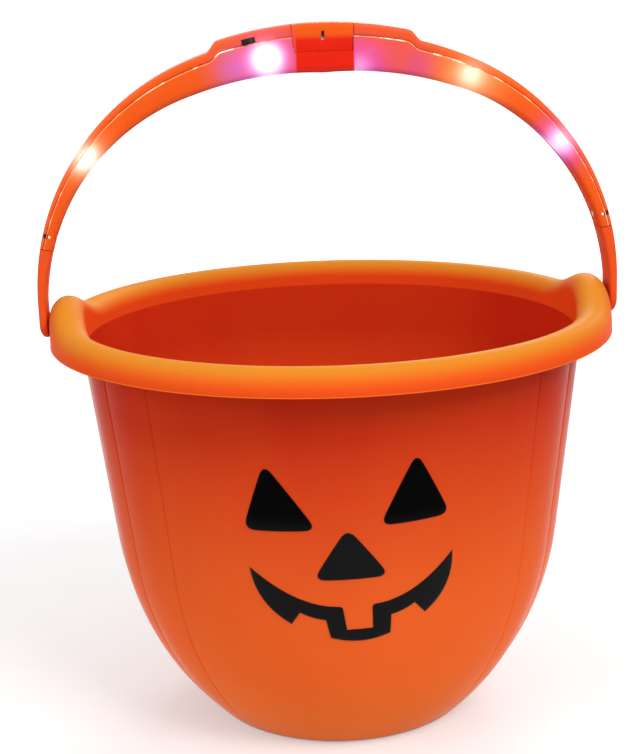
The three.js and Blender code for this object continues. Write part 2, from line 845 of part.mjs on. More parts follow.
// Tray with a saddle under the cells, a thin wall on the left and a screw post on the right.
// Its front is slit for the leads, and the wires pass under its ends.
function batteryTray() {
  const saddleTop = cellDepth + cellRadius * saddleShare;
  const endBottom = trayBottomDepth - trayWireRoom;
  const postLeft = trayRight - trayPost;
  const width = 2 * trayHalfWidth;
  const block = join(
    compartmentBlock(trayLeft, trayRight, 2 * saddleHalfWidth, saddleTop, trayBottomDepth),
    compartmentBlock(trayLeft, trayLeft + trayWall, width, cellHeadroom, endBottom),
    compartmentBlock(postLeft, trayRight, width, cellHeadroom, endBottom),
  );
  const bedRadius = cellRadius + fitGap;
  const bedLength = postLeft - trayLeft - trayWall;
  const bed = inCompartment(new THREE.CylinderGeometry(bedRadius, bedRadius, bedLength, 24)
    .rotateZ(Math.PI / 2).translate(postLeft - bedLength / 2, 0, -cellDepth));
  const slit = compartmentBlock(trayLeft - trayWall, trayLeft + 2 * trayWall, 3 * leadDiameter,
    cellHeadroom - trayWall, trayBottomDepth, -trayHalfWidth);
  return cut(block, bed, slit, doorScrewRoom());
}

// Button cell, numbered from the left, with its smaller cap on the right
function cell(index) {
  const start = cellsLeft + index * (cellHeight + fitGap);
  const capStart = cellHeight - cellCapHeight;
  const capRadius = cellCapDiameter / 2;
  const can = turnedAlongX([
    [0, 0],
    [cellRadius - cellEdge, 0],
    [cellRadius, cellEdge],
    [cellRadius, capStart],
    [capRadius, capStart],
    [capRadius - cellEdge, cellHeight],
    [0, cellHeight],
  ], 24);
  return inCompartment(can.translate(start, 0, -cellDepth));
}

// Contact plate against one end of the cells, with an arm at the front for its lead. The left
// arm passes out through the tray's wall, the right one reaches down beside the saddle.
function contact(left) {
  const half = contactSize / 2;
  const armFront = -trayHalfWidth + fitGap / 2;
  const armTop = cellDepth + contactArmWidth;
  const armBottom = armTop + contactArmHeight;
  const start = left ? cellsLeft - fitGap - contactThickness : cellsRight + fitGap;
  const end = start + contactThickness;
  const plate = compartmentBlock(start, end, contactSize, cellDepth - half, cellDepth + half);
  const bridgeWidth = -half - armFront + contactThickness / 2;
  const bridge = compartmentBlock(start, end, bridgeWidth, armTop, armBottom,
    armFront + bridgeWidth / 2);
  const armStart = left ? trayLeft - contactArmReach : start;
  const armEnd = left ? armBottom : trayBottomDepth - trayBase;
  const arm = compartmentBlock(armStart, end, contactArmWidth, armTop, armEnd,
    armFront + contactArmWidth / 2);
  return join(plate, bridge, arm);
}

function circuitBoard() {
  return toHandle(new THREE.BoxGeometry(boardLength, boardWidth, boardThickness), boardAngle,
    boardDepth + boardThickness / 2, 0);
}

// Slide switch on the front edge of the board, with the pocket that its slider runs in
function switchBody() {
  const body = new THREE.BoxGeometry(switchLength, switchWidth, switchHeight);
  const pocket = new THREE.BoxGeometry(
    sliderLength + sliderTravel + 2 * fitGap, 2 * (sliderRoot + fitGap), sliderHeight + 2 * fitGap)
    .translate(0, -switchWidth / 2, 0);
  return toHandle(cut(body, pocket).translate(switchShift, 0, 0), boardAngle, switchDepth,
    -boardWidth / 2 + switchWidth / 2);
}

// Knob of the switch, drawn at the end of its travel away from the crown
function switchSlider() {
  const { width } = sectionSize(boardAngle);
  const front = -width / 2 - sliderProud;
  const back = -boardWidth / 2 + sliderRoot;
  const knob = new THREE.BoxGeometry(sliderLength, back - front, sliderHeight)
    .translate(switchShift - sliderTravel / 2, 0, 0);
  return toHandle(knob, boardAngle, switchDepth, (front + back) / 2);
}

function controllerChip() {
  return toHandle(new THREE.BoxGeometry(chipLength, chipWidth, chipHeight), boardAngle,
    boardDepth - fitGap - chipHeight / 2, boardWidth / 2 - chipWidth / 2 - chipEdge);
}

// Light with its dome to the front, its flange at the back and two pins to the wires
function light(angle) {
  const { width, middle } = sectionSize(angle);
  const tip = -width / 2 + shellWall + lightTipGap;
  const round = lightDiameter / 2;
  const dome = arcPoints([0, round], [round, round], -Math.PI / 2, 0, 3);
  const body = turnedAlongY([
    ...dome.map(([r, y]) => [Math.max(r, 0), y]),
    [round, lightLength - lightFlangeThickness],
    [lightFlangeDiameter / 2, lightLength - lightFlangeThickness],
    [lightFlangeDiameter / 2, lightLength],
    [0, lightLength],
  ], 12).translate(0, tip, 0);
  const pinEnd = loomPlace(width) - loomDiameter / 2 - fitGap;
  const pinStart = tip + lightLength - lightPinRoot;
  const pinLength = pinEnd - pinStart;
  const pins = [-1, 1].map((side) => new THREE.BoxGeometry(lightPinSize, pinLength, lightPinSize)
    .translate(side * lightPinPitch / 2, (pinStart + pinEnd) / 2, 0));
  return toHandle(join(body, ...pins), angle, middle, 0);
}

// Place across the handle of the wires' middle, against the back wall
function loomPlace(width) {
  return width / 2 - shellWall - wireGap - loomDiameter / 2;
}

// Wires along the back of the handle between two angles. They run at the lights' depth, and
// low past the battery tray.
function wireLoom(from, to) {
  const points = [];
  const steps = Math.ceil(Math.abs(to - from) / radians(1));
  for (let i = 0; i <= steps; i += 1) {
    const angle = from + ((to - from) * i) / steps;
    const { floor, middle, width } = sectionSize(angle);
    const low = floor - wireGap - loomDiameter / 2;
    const dipStart = doorHalfLength + loomDiameter;
    const share = THREE.MathUtils.smoothstep(distanceAt(angle), dipStart, dipStart + loomDipLength);
    points.push(inHandle(angle, THREE.MathUtils.lerp(low, middle, share), loomPlace(width)));
  }
  return tube(points, loomDiameter, Math.ceil(steps / 2), 8);
}

// Lead from a cell contact to the underside of the board, along the front of the channel.
// Each stop of its route is [distance from the crown, height over the channel's floor], and it
// ends at a place along the board.
function cellLead(route, boardPlace) {
  const across = (angle) => leadDiameter / 2 - channelHalf(angle) + fitGap;
  const points = [];
  for (let i = 0; i + 1 < route.length; i += 1) {
    const [x, rise] = route[i];
    const [nextX, nextRise] = route[i + 1];
    const count = Math.ceil(Math.abs(nextX - x) / leadStep);
    for (let k = 0; k < count; k += 1) {
      const angle = angleAt(THREE.MathUtils.lerp(x, nextX, k / count));
      const height = THREE.MathUtils.lerp(rise, nextRise, k / count);
      points.push(inHandle(angle, sectionSize(angle).floor - height, across(angle)));
    }
  }
  const underside = boardDepth + boardThickness + 2 * fitGap;
  const foot = inHandle(boardAngle, underside, across(boardAngle));
  const alongBoard = new THREE.Vector3(Math.cos(boardAngle), 0, -Math.sin(boardAngle));
  const end = foot.addScaledVector(alongBoard, boardPlace);
  points.push(end.clone().setZ(end.z - 2 * leadDiameter));
  points.push(end);
  return tube(points, leadDiameter, points.length, 8);
}

// Half of the channel's inner width
function channelHalf(angle) {
  return sectionSize(angle).width / 2 - shellWall;
}

// Strap from the pivot to the lit part of the handle, with a tongue that the shells close on
function leg(side) {
  const bottom = -legWidth / 2;
  const strapAngles = handleStations(seamAngle + fitGap / sideArchRadius, Math.PI / 2, radians(3));
  const outer = strapAngles.map((angle) => inHandle(angle, 0, 0));
  const inner = strapAngles.map((angle) => inHandle(angle, sectionSize(angle).thickness, 0));
  const strap = new THREE.Shape([
    ...outer.map(({ x, z }) => new THREE.Vector2(x, z)),
    new THREE.Vector2(handleHalfSpan, bottom),
    new THREE.Vector2(legInnerFace, bottom),
    ...inner.reverse().map(({ x, z }) => new THREE.Vector2(x, z)),
  ]);
  const band = new THREE.ExtrudeGeometry(strap, { depth: legWidth, bevelEnabled: false })
    .rotateX(Math.PI / 2).translate(0, legWidth / 2, 0);
  const front = new THREE.Shape();
  front.moveTo(legWidth / 2, 2 * seamHeight);
  front.lineTo(-legWidth / 2, 2 * seamHeight);
  front.absarc(0, 0, legWidth / 2, Math.PI, 2 * Math.PI, false);
  front.closePath();
  const outline = new THREE.ExtrudeGeometry(front, {
    depth: 2 * handleHalfSpan, bevelEnabled: false, curveSegments: 16,
  }).rotateX(Math.PI / 2).rotateZ(Math.PI / 2);
  const bore = pivotBore(pivotDiameter, 4 * legThickness, handleHalfSpan, 0);
  const headRoom = pivotBore(pivotHeadDiameter, 2 * (pivotHeadHeight + fitGap), handleHalfSpan, 0);
  const { thickness } = sectionSize(legScrewAngle);
  const screwRoom = legScrewBore(1, screwDiameter + 2 * fitGap, 0, thickness);
  const solid = cut(join(common(band, outline), tongue()), bore, headRoom, screwRoom);
  if (side > 0) return solid;
  return geometryFrom(solidFrom(solid).rotate([0, 0, 180]));
}

// Tongue of the right leg, which lies in the channel and ends in a point
function tongue() {
  const root = seamAngle + legThickness / 2 / sideArchRadius;
  const end = seamAngle - tongueLength / sideArchRadius;
  const neck = end + tonguePointShare * tongueLength / sideArchRadius;
  const full = channelHalf(seamAngle) - 2 * fitGap;
  const widthAt = (angle) => {
    const share = Math.min(1, (angle - end) / (neck - end));
    return full * THREE.MathUtils.lerp(tongueTipShare, 1, share);
  };
  const section = (angle) => {
    const { middle } = sectionSize(angle);
    const half = widthAt(angle);
    return [
      [middle - tongueThickness / 2, -half],
      [middle + tongueThickness / 2, -half],
      [middle + tongueThickness / 2, half],
      [middle - tongueThickness / 2, half],
    ];
  };
  return loft([end, neck, (neck + root) / 2, root], section, inHandle);
}

// Screw through the channel's floor into a leg's tongue, its head in the inner face
function legScrew(side) {
  const { thickness, roof } = sectionSize(legScrewAngle);
  const length = thickness - roof - 2 * fitGap;
  const profile = [
    [0, 0],
    [screwHeadDiameter / 2 - screwEdge, 0],
    [screwHeadDiameter / 2, screwEdge],
    [screwHeadDiameter / 2, screwHeadHeight - fitGap],
    [screwDiameter / 2, screwHeadHeight - fitGap],
    [screwDiameter / 2, length - screwEdge],
    [screwDiameter / 2 - screwEdge, length],
    [0, length],
  ].map(([r, z]) => new THREE.Vector2(r, z));
  const screw = new THREE.LatheGeometry(profile, 12).rotateX(Math.PI / 2);
  return toHandle(screw, side * legScrewAngle, thickness, 0);
}

// Snap rivet: a low domed head sunk in the leg, a shank through leg and ear, and a barb
// inside the hollow ear
function pivotPin(side) {
  const hollowWidth = rimRadius - rimWall - crestRadius;
  const hollowHeight = rimRise - rimLip - rimWall;
  const overLip = pivotAboveRimEdge + pivotBarbDiameter / 2 - rimLip - earRise;
  const heightShare = Math.max(0, overLip) / hollowHeight;
  const barbStart = crestRadius + hollowWidth * Math.sqrt(1 - heightShare ** 2) - fitGap;
  const headStart = handleHalfSpan - pivotHeadHeight;
  const pin = turnedAlongX([
    [0, barbStart - pivotBarbLength],
    [pivotBarbTipDiameter / 2, barbStart - pivotBarbLength],
    [pivotBarbDiameter / 2, barbStart - pivotBarbEdge],
    [pivotBarbDiameter / 2, barbStart],
    [pivotDiameter / 2, barbStart],
    [pivotDiameter / 2, headStart],
    [pivotHeadDiameter / 2, headStart],
    [pivotHeadDiameter / 2, headStart + pivotHeadEdge],
    [pivotHeadFlatDiameter / 2, headStart + pivotHeadHeight],
    [0, headStart + pivotHeadHeight],
  ], 16);
  return side > 0 ? pin : pin.rotateZ(Math.PI);
}

// Materials by colour, from the photograph
function plastic(color, roughness) {
  return new THREE.MeshStandardMaterial({ color, roughness, metalness: 0 });
}

function metal(color, roughness) {
  return new THREE.MeshStandardMaterial({ color, roughness, metalness: 1 });
}

const pailPlastic = plastic(0xe8642a, 0.3);
const ink = plastic(0x0c0c0e, 0.25);
const litPlastic = plastic(0xf0692a, 0.2);
const legPlastic = plastic(0xdb562a, 0.4);
const trayPlastic = plastic(0xe63323, 0.45);
const blackPlastic = plastic(0x15151a, 0.5);
const boardGreen = plastic(0x1f5c3a, 0.5);
const clearLens = plastic(0xf4f4ff, 0.1);
const wireCover = plastic(0xc8282a, 0.5);
const nickel = metal(0xc9c9c6, 0.3);
const steel = metal(0x8e8e90, 0.35);

// Assembly
const object = new THREE.Group();
const handle = new THREE.Group();
handle.position.z = pivotHeight;
object.add(handle);

function add(group, name, geometry, material) {
  const mesh = new THREE.Mesh(geometry, material);
  mesh.name = name;
  group.add(mesh);
}

add(object, 'pail', pail(), pailPlastic);
add(object, 'left_eye', eye(-1), ink);
add(object, 'right_eye', eye(1), ink);
add(object, 'nose', nose(), ink);
add(object, 'mouth', mouth(), ink);

for (const [name, side] of [['left', -1], ['right', 1]]) {
  add(handle, `${name}_leg`, leg(side), legPlastic);
  add(handle, `${name}_pivot_pin`, pivotPin(side), legPlastic);
  add(handle, `leg_screw_${name}`, legScrew(side), steel);
}

add(handle, 'handle_inner_shell', handleInnerShell(), litPlastic);
add(handle, 'handle_outer_shell', handleOuterShell(), litPlastic);
add(handle, 'battery_door', batteryDoor(), litPlastic);
add(handle, 'door_screw', doorScrew(), steel);
add(handle, 'battery_tray', batteryTray(), trayPlastic);
for (let i = 0; i < cellCount; i += 1) add(handle, `cell_${i + 1}`, cell(i), nickel);
add(handle, 'cell_contact_minus', contact(true), nickel);
add(handle, 'cell_contact_plus', contact(false), nickel);
add(handle, 'circuit_board', circuitBoard(), boardGreen);
add(handle, 'controller_chip', controllerChip(), blackPlastic);
add(handle, 'switch_body', switchBody(), steel);
add(handle, 'switch_slider', switchSlider(), blackPlastic);
lightAngles.forEach((angle, i) => add(handle, `led_${i + 1}`, light(angle), clearLens));

// Wires from the board to the last light on each side
const boardHalfAngle = boardLength / 2 / crownRadius;
const loomOvershoot = radians(1.5);
const loomSetback = radians(0.4);
add(handle, 'wire_loom_left', wireLoom(boardAngle - boardHalfAngle - loomSetback,
  lightAngles[0] - loomOvershoot), wireCover);
add(handle, 'wire_loom_right', wireLoom(boardAngle + boardHalfAngle + loomSetback,
  lightAngles.at(-1) + loomOvershoot), wireCover);

// Leads from the cells to the board: one leaves the left contact's arm, the other starts under
// the right contact and runs low past the tray
const boardRight = boardDistance + boardLength / 2;
const armRise = boxThickness - shellWall - cellDepth - contactArmWidth - contactArmHeight;
const underArm = armRise - fitGap - leadDiameter / 2;
const underPlate = 2 * leadDiameter + fitGap;
const minusRoute = [
  [trayLeft - contactArmReach - fitGap, underArm],
  [trayLeft - 3 * contactArmReach, underArm / 2],
  [boardRight + 3 * leadDiameter, underArm / 2],
  [boardRight, underArm],
];
const plusRoute = [
  [cellsRight + fitGap, underPlate],
  [cellsRight - cellHeight, leadDiameter],
  [boardRight + leadDiameter, leadDiameter],
  [boardRight - 3 * leadDiameter, underArm / 2 + leadDiameter],
];
add(handle, 'lead_minus', cellLead(minusRoute, boardLength / 2 - leadDiameter), wireCover);
add(handle, 'lead_plus', cellLead(plusRoute, boardLength / 2 - 5 * leadDiameter), wireCover);

export default object;
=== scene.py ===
# Light-up candy pail. Sizes are in millimetres unless a name says otherwise, and become metres
# when a mesh is made. The pail stands on z = 0, its face looks along -Y and the handle swings
# about an axis parallel to X.

from contextlib import contextmanager
from math import acos, asin, atan2, copysign, cos, degrees, exp, hypot, pi, radians, sin, sqrt

import bmesh
import bpy
from mathutils import Matrix, Vector
from mathutils.geometry import delaunay_2d_cdt


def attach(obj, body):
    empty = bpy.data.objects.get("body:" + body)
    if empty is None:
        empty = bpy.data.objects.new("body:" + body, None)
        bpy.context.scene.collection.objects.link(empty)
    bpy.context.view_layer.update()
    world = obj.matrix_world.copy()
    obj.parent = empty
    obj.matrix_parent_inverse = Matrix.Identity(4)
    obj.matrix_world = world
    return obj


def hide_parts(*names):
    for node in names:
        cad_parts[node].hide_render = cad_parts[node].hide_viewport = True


MM = 0.001
FIT_GAP = 0.3
WELD_DISTANCE = 0.005
SHARP_ANGLE = radians(35)
CUT_MARGIN = 1
EDGE_BREAK = 0.1

# Pail
PAIL_WALL = 1.6
MOUTH_RADIUS = 96
BODY_TOP_RADIUS = MOUTH_RADIUS + PAIL_WALL
RIM_EDGE_HEIGHT = 154
BOWL_TOP_RADIUS = 88
BOWL_TOP_HEIGHT = 75
FOOT_RADIUS = 50
FOOT_RECESS = 1.5
FOOT_RING_WIDTH = 6
FOOT_ROUNDING = 1.2
RECESS_ROUNDING = 1
FLOOR_HEIGHT = 3.3
RIM_RADIUS = 110
CREST_RADIUS = (MOUTH_RADIUS + RIM_RADIUS) / 2
CREST_HEIGHT = RIM_EDGE_HEIGHT + 9.5
RIM_SHOULDER_HEIGHT = RIM_EDGE_HEIGHT + 3
RIM_WALL = 1.8
RIM_LIP = 1
FLASH_LINE = 0.14
EAR_RISE = 8
EAR_HALF_ANGLE = radians(20)

# Creases in the sides, and the slight swell of the panels between them
CREASES_PER_SIDE = 6
CREASE_PITCH = radians(17)
CREASE_DEPTH = 0.45
CREASE_WIDTH = 0.4
CREASE_BAND = radians(0.8)
CREASE_BAND_STEPS = 8
PANEL_SWELL = 0.55
CREASE_FADE_HEIGHT = 20

# Face, on a flat x-z sheet that is wrapped on the pail a little askew
FACE_CENTRE_HEIGHT = 79
FACE_RISE = 0.038
FACE_LEAN = 0.087
EYE_CORNERS = [(10.9, 101.8), (37.0, 102.1), (26.8, 127.9)]
NOSE_CORNERS = [(-14.8, 82.4), (12.9, 82.1), (-0.5, 102.4)]
PATCH_CORNER = 5.2
PATCH_BOW = 0.1
MOUTH_TIP = (36.4, 87.4)
UPPER_LIP_START = (6.7, 71.55)
UPPER_LIP = (5.4, 71.5)
UPPER_LIP_END = (5.3, 70.2)
TOOTH_CORNER = (4.7, 61.8)
LOWER_LIP = (10.8, 58.9)
LOWER_STEP = (11.8, 66.5)
FANG_ROOT = (20.8, 69.8)
FANG_TIP = (24.2, 65.1)
UPPER_BEND = (21.6, 72.4)
CHEEK_BEND = (36.0, 73.4)
STEP_BEND = (16.1, 67.1)
MOUTH_BOTTOM = (0, 54.8)
PATCH_BACK = 0.02
PATCH_EDGE = 0.22
PATCH_FACE = 0.42
PATCH_BEVEL = 0.3
PATCH_GRID = 2
INK_GLOSS_TOP = 96
INK_DULL_BOTTOM = 108

# Handle arch, measured up from the pivot axis
PIVOT_HEIGHT = 163
HALF_SPAN = 113.4
LEG_THICKNESS = 3
LEG_WIDTH = 14
SPRING_HEIGHT = 8
CROWN_HEIGHT = 107
CROWN_END = radians(22.5)
CROWN_THICKNESS = 15.6
CROWN_WIDTH = 16
SEAM_HEIGHT = 29
RADIUS_STEP = (HALF_SPAN + SPRING_HEIGHT - CROWN_HEIGHT) / (sin(CROWN_END) + cos(CROWN_END) - 1)
SIDE_CENTRE = RADIUS_STEP * sin(CROWN_END)
SIDE_RADIUS = HALF_SPAN - SIDE_CENTRE
CROWN_RADIUS = SIDE_RADIUS + RADIUS_STEP
CROWN_CENTRE = CROWN_HEIGHT - CROWN_RADIUS
SEAM_ANGLE = acos((SEAM_HEIGHT - SPRING_HEIGHT) / SIDE_RADIUS)

# Handle shells, battery box and door
SHELL_WALL = 1.4
SPLIT_SHARE = 0.25
ROOF_SHARE = 0.8
CHANNEL_CORNER = 2.4
CHANNEL_CORNER_SHARE = 0.45
CHANNEL_EDGE_SHARE = 0.3
COVER_CORNER = 1.6
COVER_CORNER_SHARE = 0.55
COVER_EDGE_SHARE = 0.2
COVER_INSET = 0.25
SEAM_ROUNDING = 0.8
SEAM_GAP = 0.12
SEAM_GLINT = 0.45
BOX_RAISE = 3
BOX_MIDDLE = -3.3
BOX_TOP_HALF_LENGTH = 35.6
BOX_FOOT_HALF_LENGTH = 41
RAMP_LENGTH = BOX_FOOT_HALF_LENGTH - BOX_TOP_HALF_LENGTH
RAMP_STEPS = 10
RAMP_CLEARANCE = 0.005
DOOR_HALF_LENGTH = 11.5
DOOR_FLAP_SHARE = 0.55
DOOR_BACK_EDGE = 4.6
DOOR_END = asin(DOOR_HALF_LENGTH / CROWN_RADIUS)
DOOR_ROUNDING = 0.2
LATCH_SLOT_WIDTH = 1.2
LATCH_SLOT_HEIGHT = 3.4
DOOR_SCREW_X = 9.8
DOOR_SCREW_LENGTH = 8.1
DOOR_SCREW_NECK = 1.05
DOOR_SCREW_SINK = 0.15
DOOR_HOLE_RADIUS = 1.05
DOOR_HOLE_DEPTH = 3
COUNTERSINK_RADIUS = 2.05
COUNTERSINK_DEPTH = 1.2
CROSS_LENGTH = 1.9
CROSS_WIDTH = 0.4
CROSS_HEIGHT = 0.9
CROSS_DROP = 0.2

# Small parts in the handle
SWITCH_DISTANCE = -30
SWITCH_DEPTH = 3.1
SWITCH_SHIFT = 2
SLIDER_SLOT_LENGTH = 5.2
SLIDER_SLOT_HEIGHT = 2.1
SCREW_DIAMETER = 1.5
SCREW_HEAD_DIAMETER = 3.2
SCREW_RECESS_DEPTH = 0.9
LEG_SCREW_ABOVE_SEAM = 5.2
LEG_SCREW_ANGLE = SEAM_ANGLE - LEG_SCREW_ABOVE_SEAM / SIDE_RADIUS
STRAP_CORNER = 0.9
STRAP_EDGE_SHARE = 0.4
STRAP_TIP_SHARE = 0.8
STRAP_TIP_TAPER = 1.5
TONGUE_LENGTH = 11
TONGUE_END = SEAM_ANGLE - TONGUE_LENGTH / SIDE_RADIUS
TONGUE_THICKNESS = 1.5
TONGUE_POINT_SHARE = 0.4
TONGUE_TIP_SHARE = 0.25
PIN_RADIUS = 2.5
PIN_HEAD_RADIUS = 4.5
PIN_HEAD_HEIGHT = 1.2
PIN_DOME_WIDTH = 1.6
PIN_DOME_HEIGHT = 0.85
PIN_DIMPLE_RADIUS = 1.2
PIN_DIMPLE_FLOOR_RADIUS = 0.9
PIN_DIMPLE_DEPTH = 0.25
PIN_TIP_X = 104.7
PIN_TIP_RADIUS = 1.75
PIN_BARB_RADIUS = 3.2
PIN_BARB_START_X = 106.8
PIN_BARB_END_X = 107.2
LIGHT_DIAMETER = 3
LIGHT_TIP_GAP = 0.5


def srgb(red, green, blue):
    """Linear colour from 0 to 255 display values."""
    def linear(value):
        value /= 255
        return value / 12.92 if value <= 0.04045 else ((value + 0.055) / 1.055) ** 2.4
    return (linear(red), linear(green), linear(blue), 1)


def scaled(color, factor):
    """Lighter or darker colour."""
    return (*(min(1, value * factor) for value in color[:3]), 1)


# Meshes

def smooth(mesh):
    mesh.polygons.foreach_set("use_smooth", [True] * len(mesh.polygons))
    mesh.set_sharp_from_angle(angle=SHARP_ANGLE)


def add_object(name, data):
    """New object in the scene."""
    item = bpy.data.objects.new(name, data)
    bpy.context.scene.collection.objects.link(item)
    return item


@contextmanager
def editing(mesh):
    """Opens a mesh for changes and writes them back."""
    work = bmesh.new()
    work.from_mesh(mesh)
    yield work
    work.to_mesh(mesh)
    work.free()


def make_piece(name, points, faces):
    """New object from points in millimetres, with its faces turned outwards."""
    mesh = bpy.data.meshes.new(name)
    mesh.from_pydata([Vector(point) * MM for point in points], [], faces)
    with editing(mesh) as work:
        bmesh.ops.recalc_face_normals(work, faces=work.faces)
    smooth(mesh)
    return add_object(name, mesh)


def bake_modifiers(piece):
    """Replaces a piece's mesh by what its modifiers make of it, without sliver faces."""
    graph = bpy.context.evaluated_depsgraph_get()
    mesh = bpy.data.meshes.new_from_object(piece.evaluated_get(graph))
    piece.modifiers.clear()
    piece.data = mesh
    with editing(mesh) as work:
        bmesh.ops.remove_doubles(work, verts=work.verts, dist=WELD_DISTANCE * MM)
        bmesh.ops.dissolve_degenerate(work, edges=work.edges, dist=WELD_DISTANCE * MM)
    smooth(mesh)


def cut(piece, *tools, operation="DIFFERENCE"):
    """Cuts the tools out of a piece, or joins them to it, and removes them."""
    for tool in tools:
        step = piece.modifiers.new("cut", "BOOLEAN")
        step.operation = operation
        step.solver = "EXACT"
        step.object = tool
    bake_modifiers(piece)
    for tool in tools:
        bpy.data.objects.remove(tool)
    return piece


def soften(piece, width):
    """Rounds the sharp edges of a piece."""
    step = piece.modifiers.new("soften", "BEVEL")
    step.width = width * MM
    step.segments = 2
    step.limit_method = "ANGLE"
    step.angle_limit = radians(32)
    bake_modifiers(piece)
    return piece


def loft(name, stations, section_at, place):
    """Solid through equal sections along stations, with flat ends."""
    sections = [section_at(station) for station in stations]
    count = len(sections[0])
    points = [place(station, *point) for station, section in zip(stations, sections) for point in section]
    faces = []
    for i in range(len(stations) - 1):
        for j in range(count):
            a = i * count + j
            b = i * count + (j + 1) % count
            faces.append((a, b, b + count, a + count))
    faces.append(tuple(range(count)))
    faces.append(tuple(range((len(stations) - 1) * count, len(stations) * count)))
    return make_piece(name, points, faces)


def revolved(name, turns, profiles, place):
    """Solid round an axis, from one profile of [radius, along] pairs at each turn.

    The profiles start and end on the axis.
    """
    points = [place(0, 0, profiles[0][0][1]), place(0, 0, profiles[0][-1][1])]
    inner = len(profiles[0]) - 2
    faces = []
    for i, (turn, profile) in enumerate(zip(turns, profiles)):
        points += [place(r * cos(turn), r * sin(turn), along) for r, along in profile[1:-1]]
        a = 2 + i * inner
        b = 2 + (i + 1) % len(turns) * inner
        faces.append((0, a, b))
        faces.append((1, b + inner - 1, a + inner - 1))
        for j in range(inner - 1):
            faces.append((a + j, a + j + 1, b + j + 1, b + j))
    return make_piece(name, points, faces)


def turned(name, profile, segments, place):
    """Solid of revolution from one profile."""
    turns = [2 * pi * i / segments for i in range(segments)]
    return revolved(name, turns, [profile] * segments, place)


def rod(name, radius, start, end, place):
    """Plain round bar between two places on its axis."""
    return turned(name, [(0, start), (radius, start), (radius, end), (0, end)], 24, place)


def block(name, size, place):
    """Box of a size around the origin, with its corners sent through place."""
    halves = [value / 2 for value in size]
    corners = [(x, y, z) for x in (-1, 1) for y in (-1, 1) for z in (-1, 1)]
    points = [place(*(sign * half for sign, half in zip(corner, halves))) for corner in corners]
    faces = [(0, 1, 3, 2), (4, 6, 7, 5), (0, 4, 5, 1), (2, 3, 7, 6), (0, 2, 6, 4), (1, 5, 7, 3)]
    return make_piece(name, points, faces)


def arc(centre, radii, start, end, steps):
    """Points of an arc, both ends included."""
    angles = [start + (end - start) * i / steps for i in range(steps + 1)]
    return [(centre[0] + radii[0] * cos(a), centre[1] + radii[1] * sin(a)) for a in angles]


def bend(start, control, end, steps):
    """Points of a quadratic curve, without its start."""
    points = []
    for i in range(1, steps + 1):
        t = i / steps
        weights = ((1 - t) ** 2, 2 * t * (1 - t), t * t)
        points.append(tuple(sum(w * p[k] for w, p in zip(weights, (start, control, end))) for k in (0, 1)))
    return points


# Pail

def bowl_arc():
    """Radius, centre and top angle of the pail's round lower part."""
    taper = atan2(BODY_TOP_RADIUS - BOWL_TOP_RADIUS, RIM_EDGE_HEIGHT - BOWL_TOP_HEIGHT)
    across = BOWL_TOP_RADIUS - FOOT_RADIUS
    span = 2 * (across * cos(taper) - BOWL_TOP_HEIGHT * sin(taper))
    radius = (across ** 2 + BOWL_TOP_HEIGHT ** 2) / span
    centre = (BOWL_TOP_RADIUS - radius * cos(taper), BOWL_TOP_HEIGHT + radius * sin(taper))
    return radius, centre, -taper


def wall_radius(height):
    """Radius of the pail's outer wall at a height."""
    radius, centre, _ = bowl_arc()
    if height < BOWL_TOP_HEIGHT:
        return centre[0] + sqrt(radius ** 2 - (centre[1] - height) ** 2)
    share = (height - BOWL_TOP_HEIGHT) / (RIM_EDGE_HEIGHT - BOWL_TOP_HEIGHT)
    return BOWL_TOP_RADIUS + (BODY_TOP_RADIUS - BOWL_TOP_RADIUS) * share


def ear_lift(angle):
    from_side = asin(abs(sin(angle)))
    if from_side >= EAR_HALF_ANGLE:
        return 0
    return EAR_RISE / 2 * (1 + cos(pi * from_side / EAR_HALF_ANGLE))


def crease_angles():
    middle = (CREASES_PER_SIDE - 1) / 2
    return [side + (i - middle) * CREASE_PITCH for side in (0, pi) for i in range(CREASES_PER_SIDE)]


def relief(angle):
    """How far the wall stands in or out of the plain round at an angle: creases and panels."""
    from_side = asin(abs(sin(angle)))
    sign = 1 if sin(angle) * cos(angle) > 0 else -1
    place = sign * from_side / CREASE_PITCH + (CREASES_PER_SIDE - 1) / 2
    nearest = min(max(round(place), 0), CREASES_PER_SIDE - 1)
    distance = (place - nearest) * CREASE_PITCH * BOWL_TOP_RADIUS
    groove = CREASE_DEPTH * exp(-(distance / CREASE_WIDTH) ** 2)
    swell = 0
    if 0 < place < CREASES_PER_SIDE - 1:
        swell = PANEL_SWELL * sin(pi * (place % 1))
    return swell - groove


def pail_columns():
    coarse = [radians(i) for i in range(360)]
    creases = crease_angles()
    turn = 2 * pi

    def far(angle):
        return all(abs((angle - c + pi) % turn - pi) > CREASE_BAND for c in creases)

    steps = range(-CREASE_BAND_STEPS, CREASE_BAND_STEPS + 1)
    fine = [c + CREASE_BAND * i / CREASE_BAND_STEPS for c in creases for i in steps]
    return sorted([a for a in coarse if far(a)] + [a % turn for a in fine])


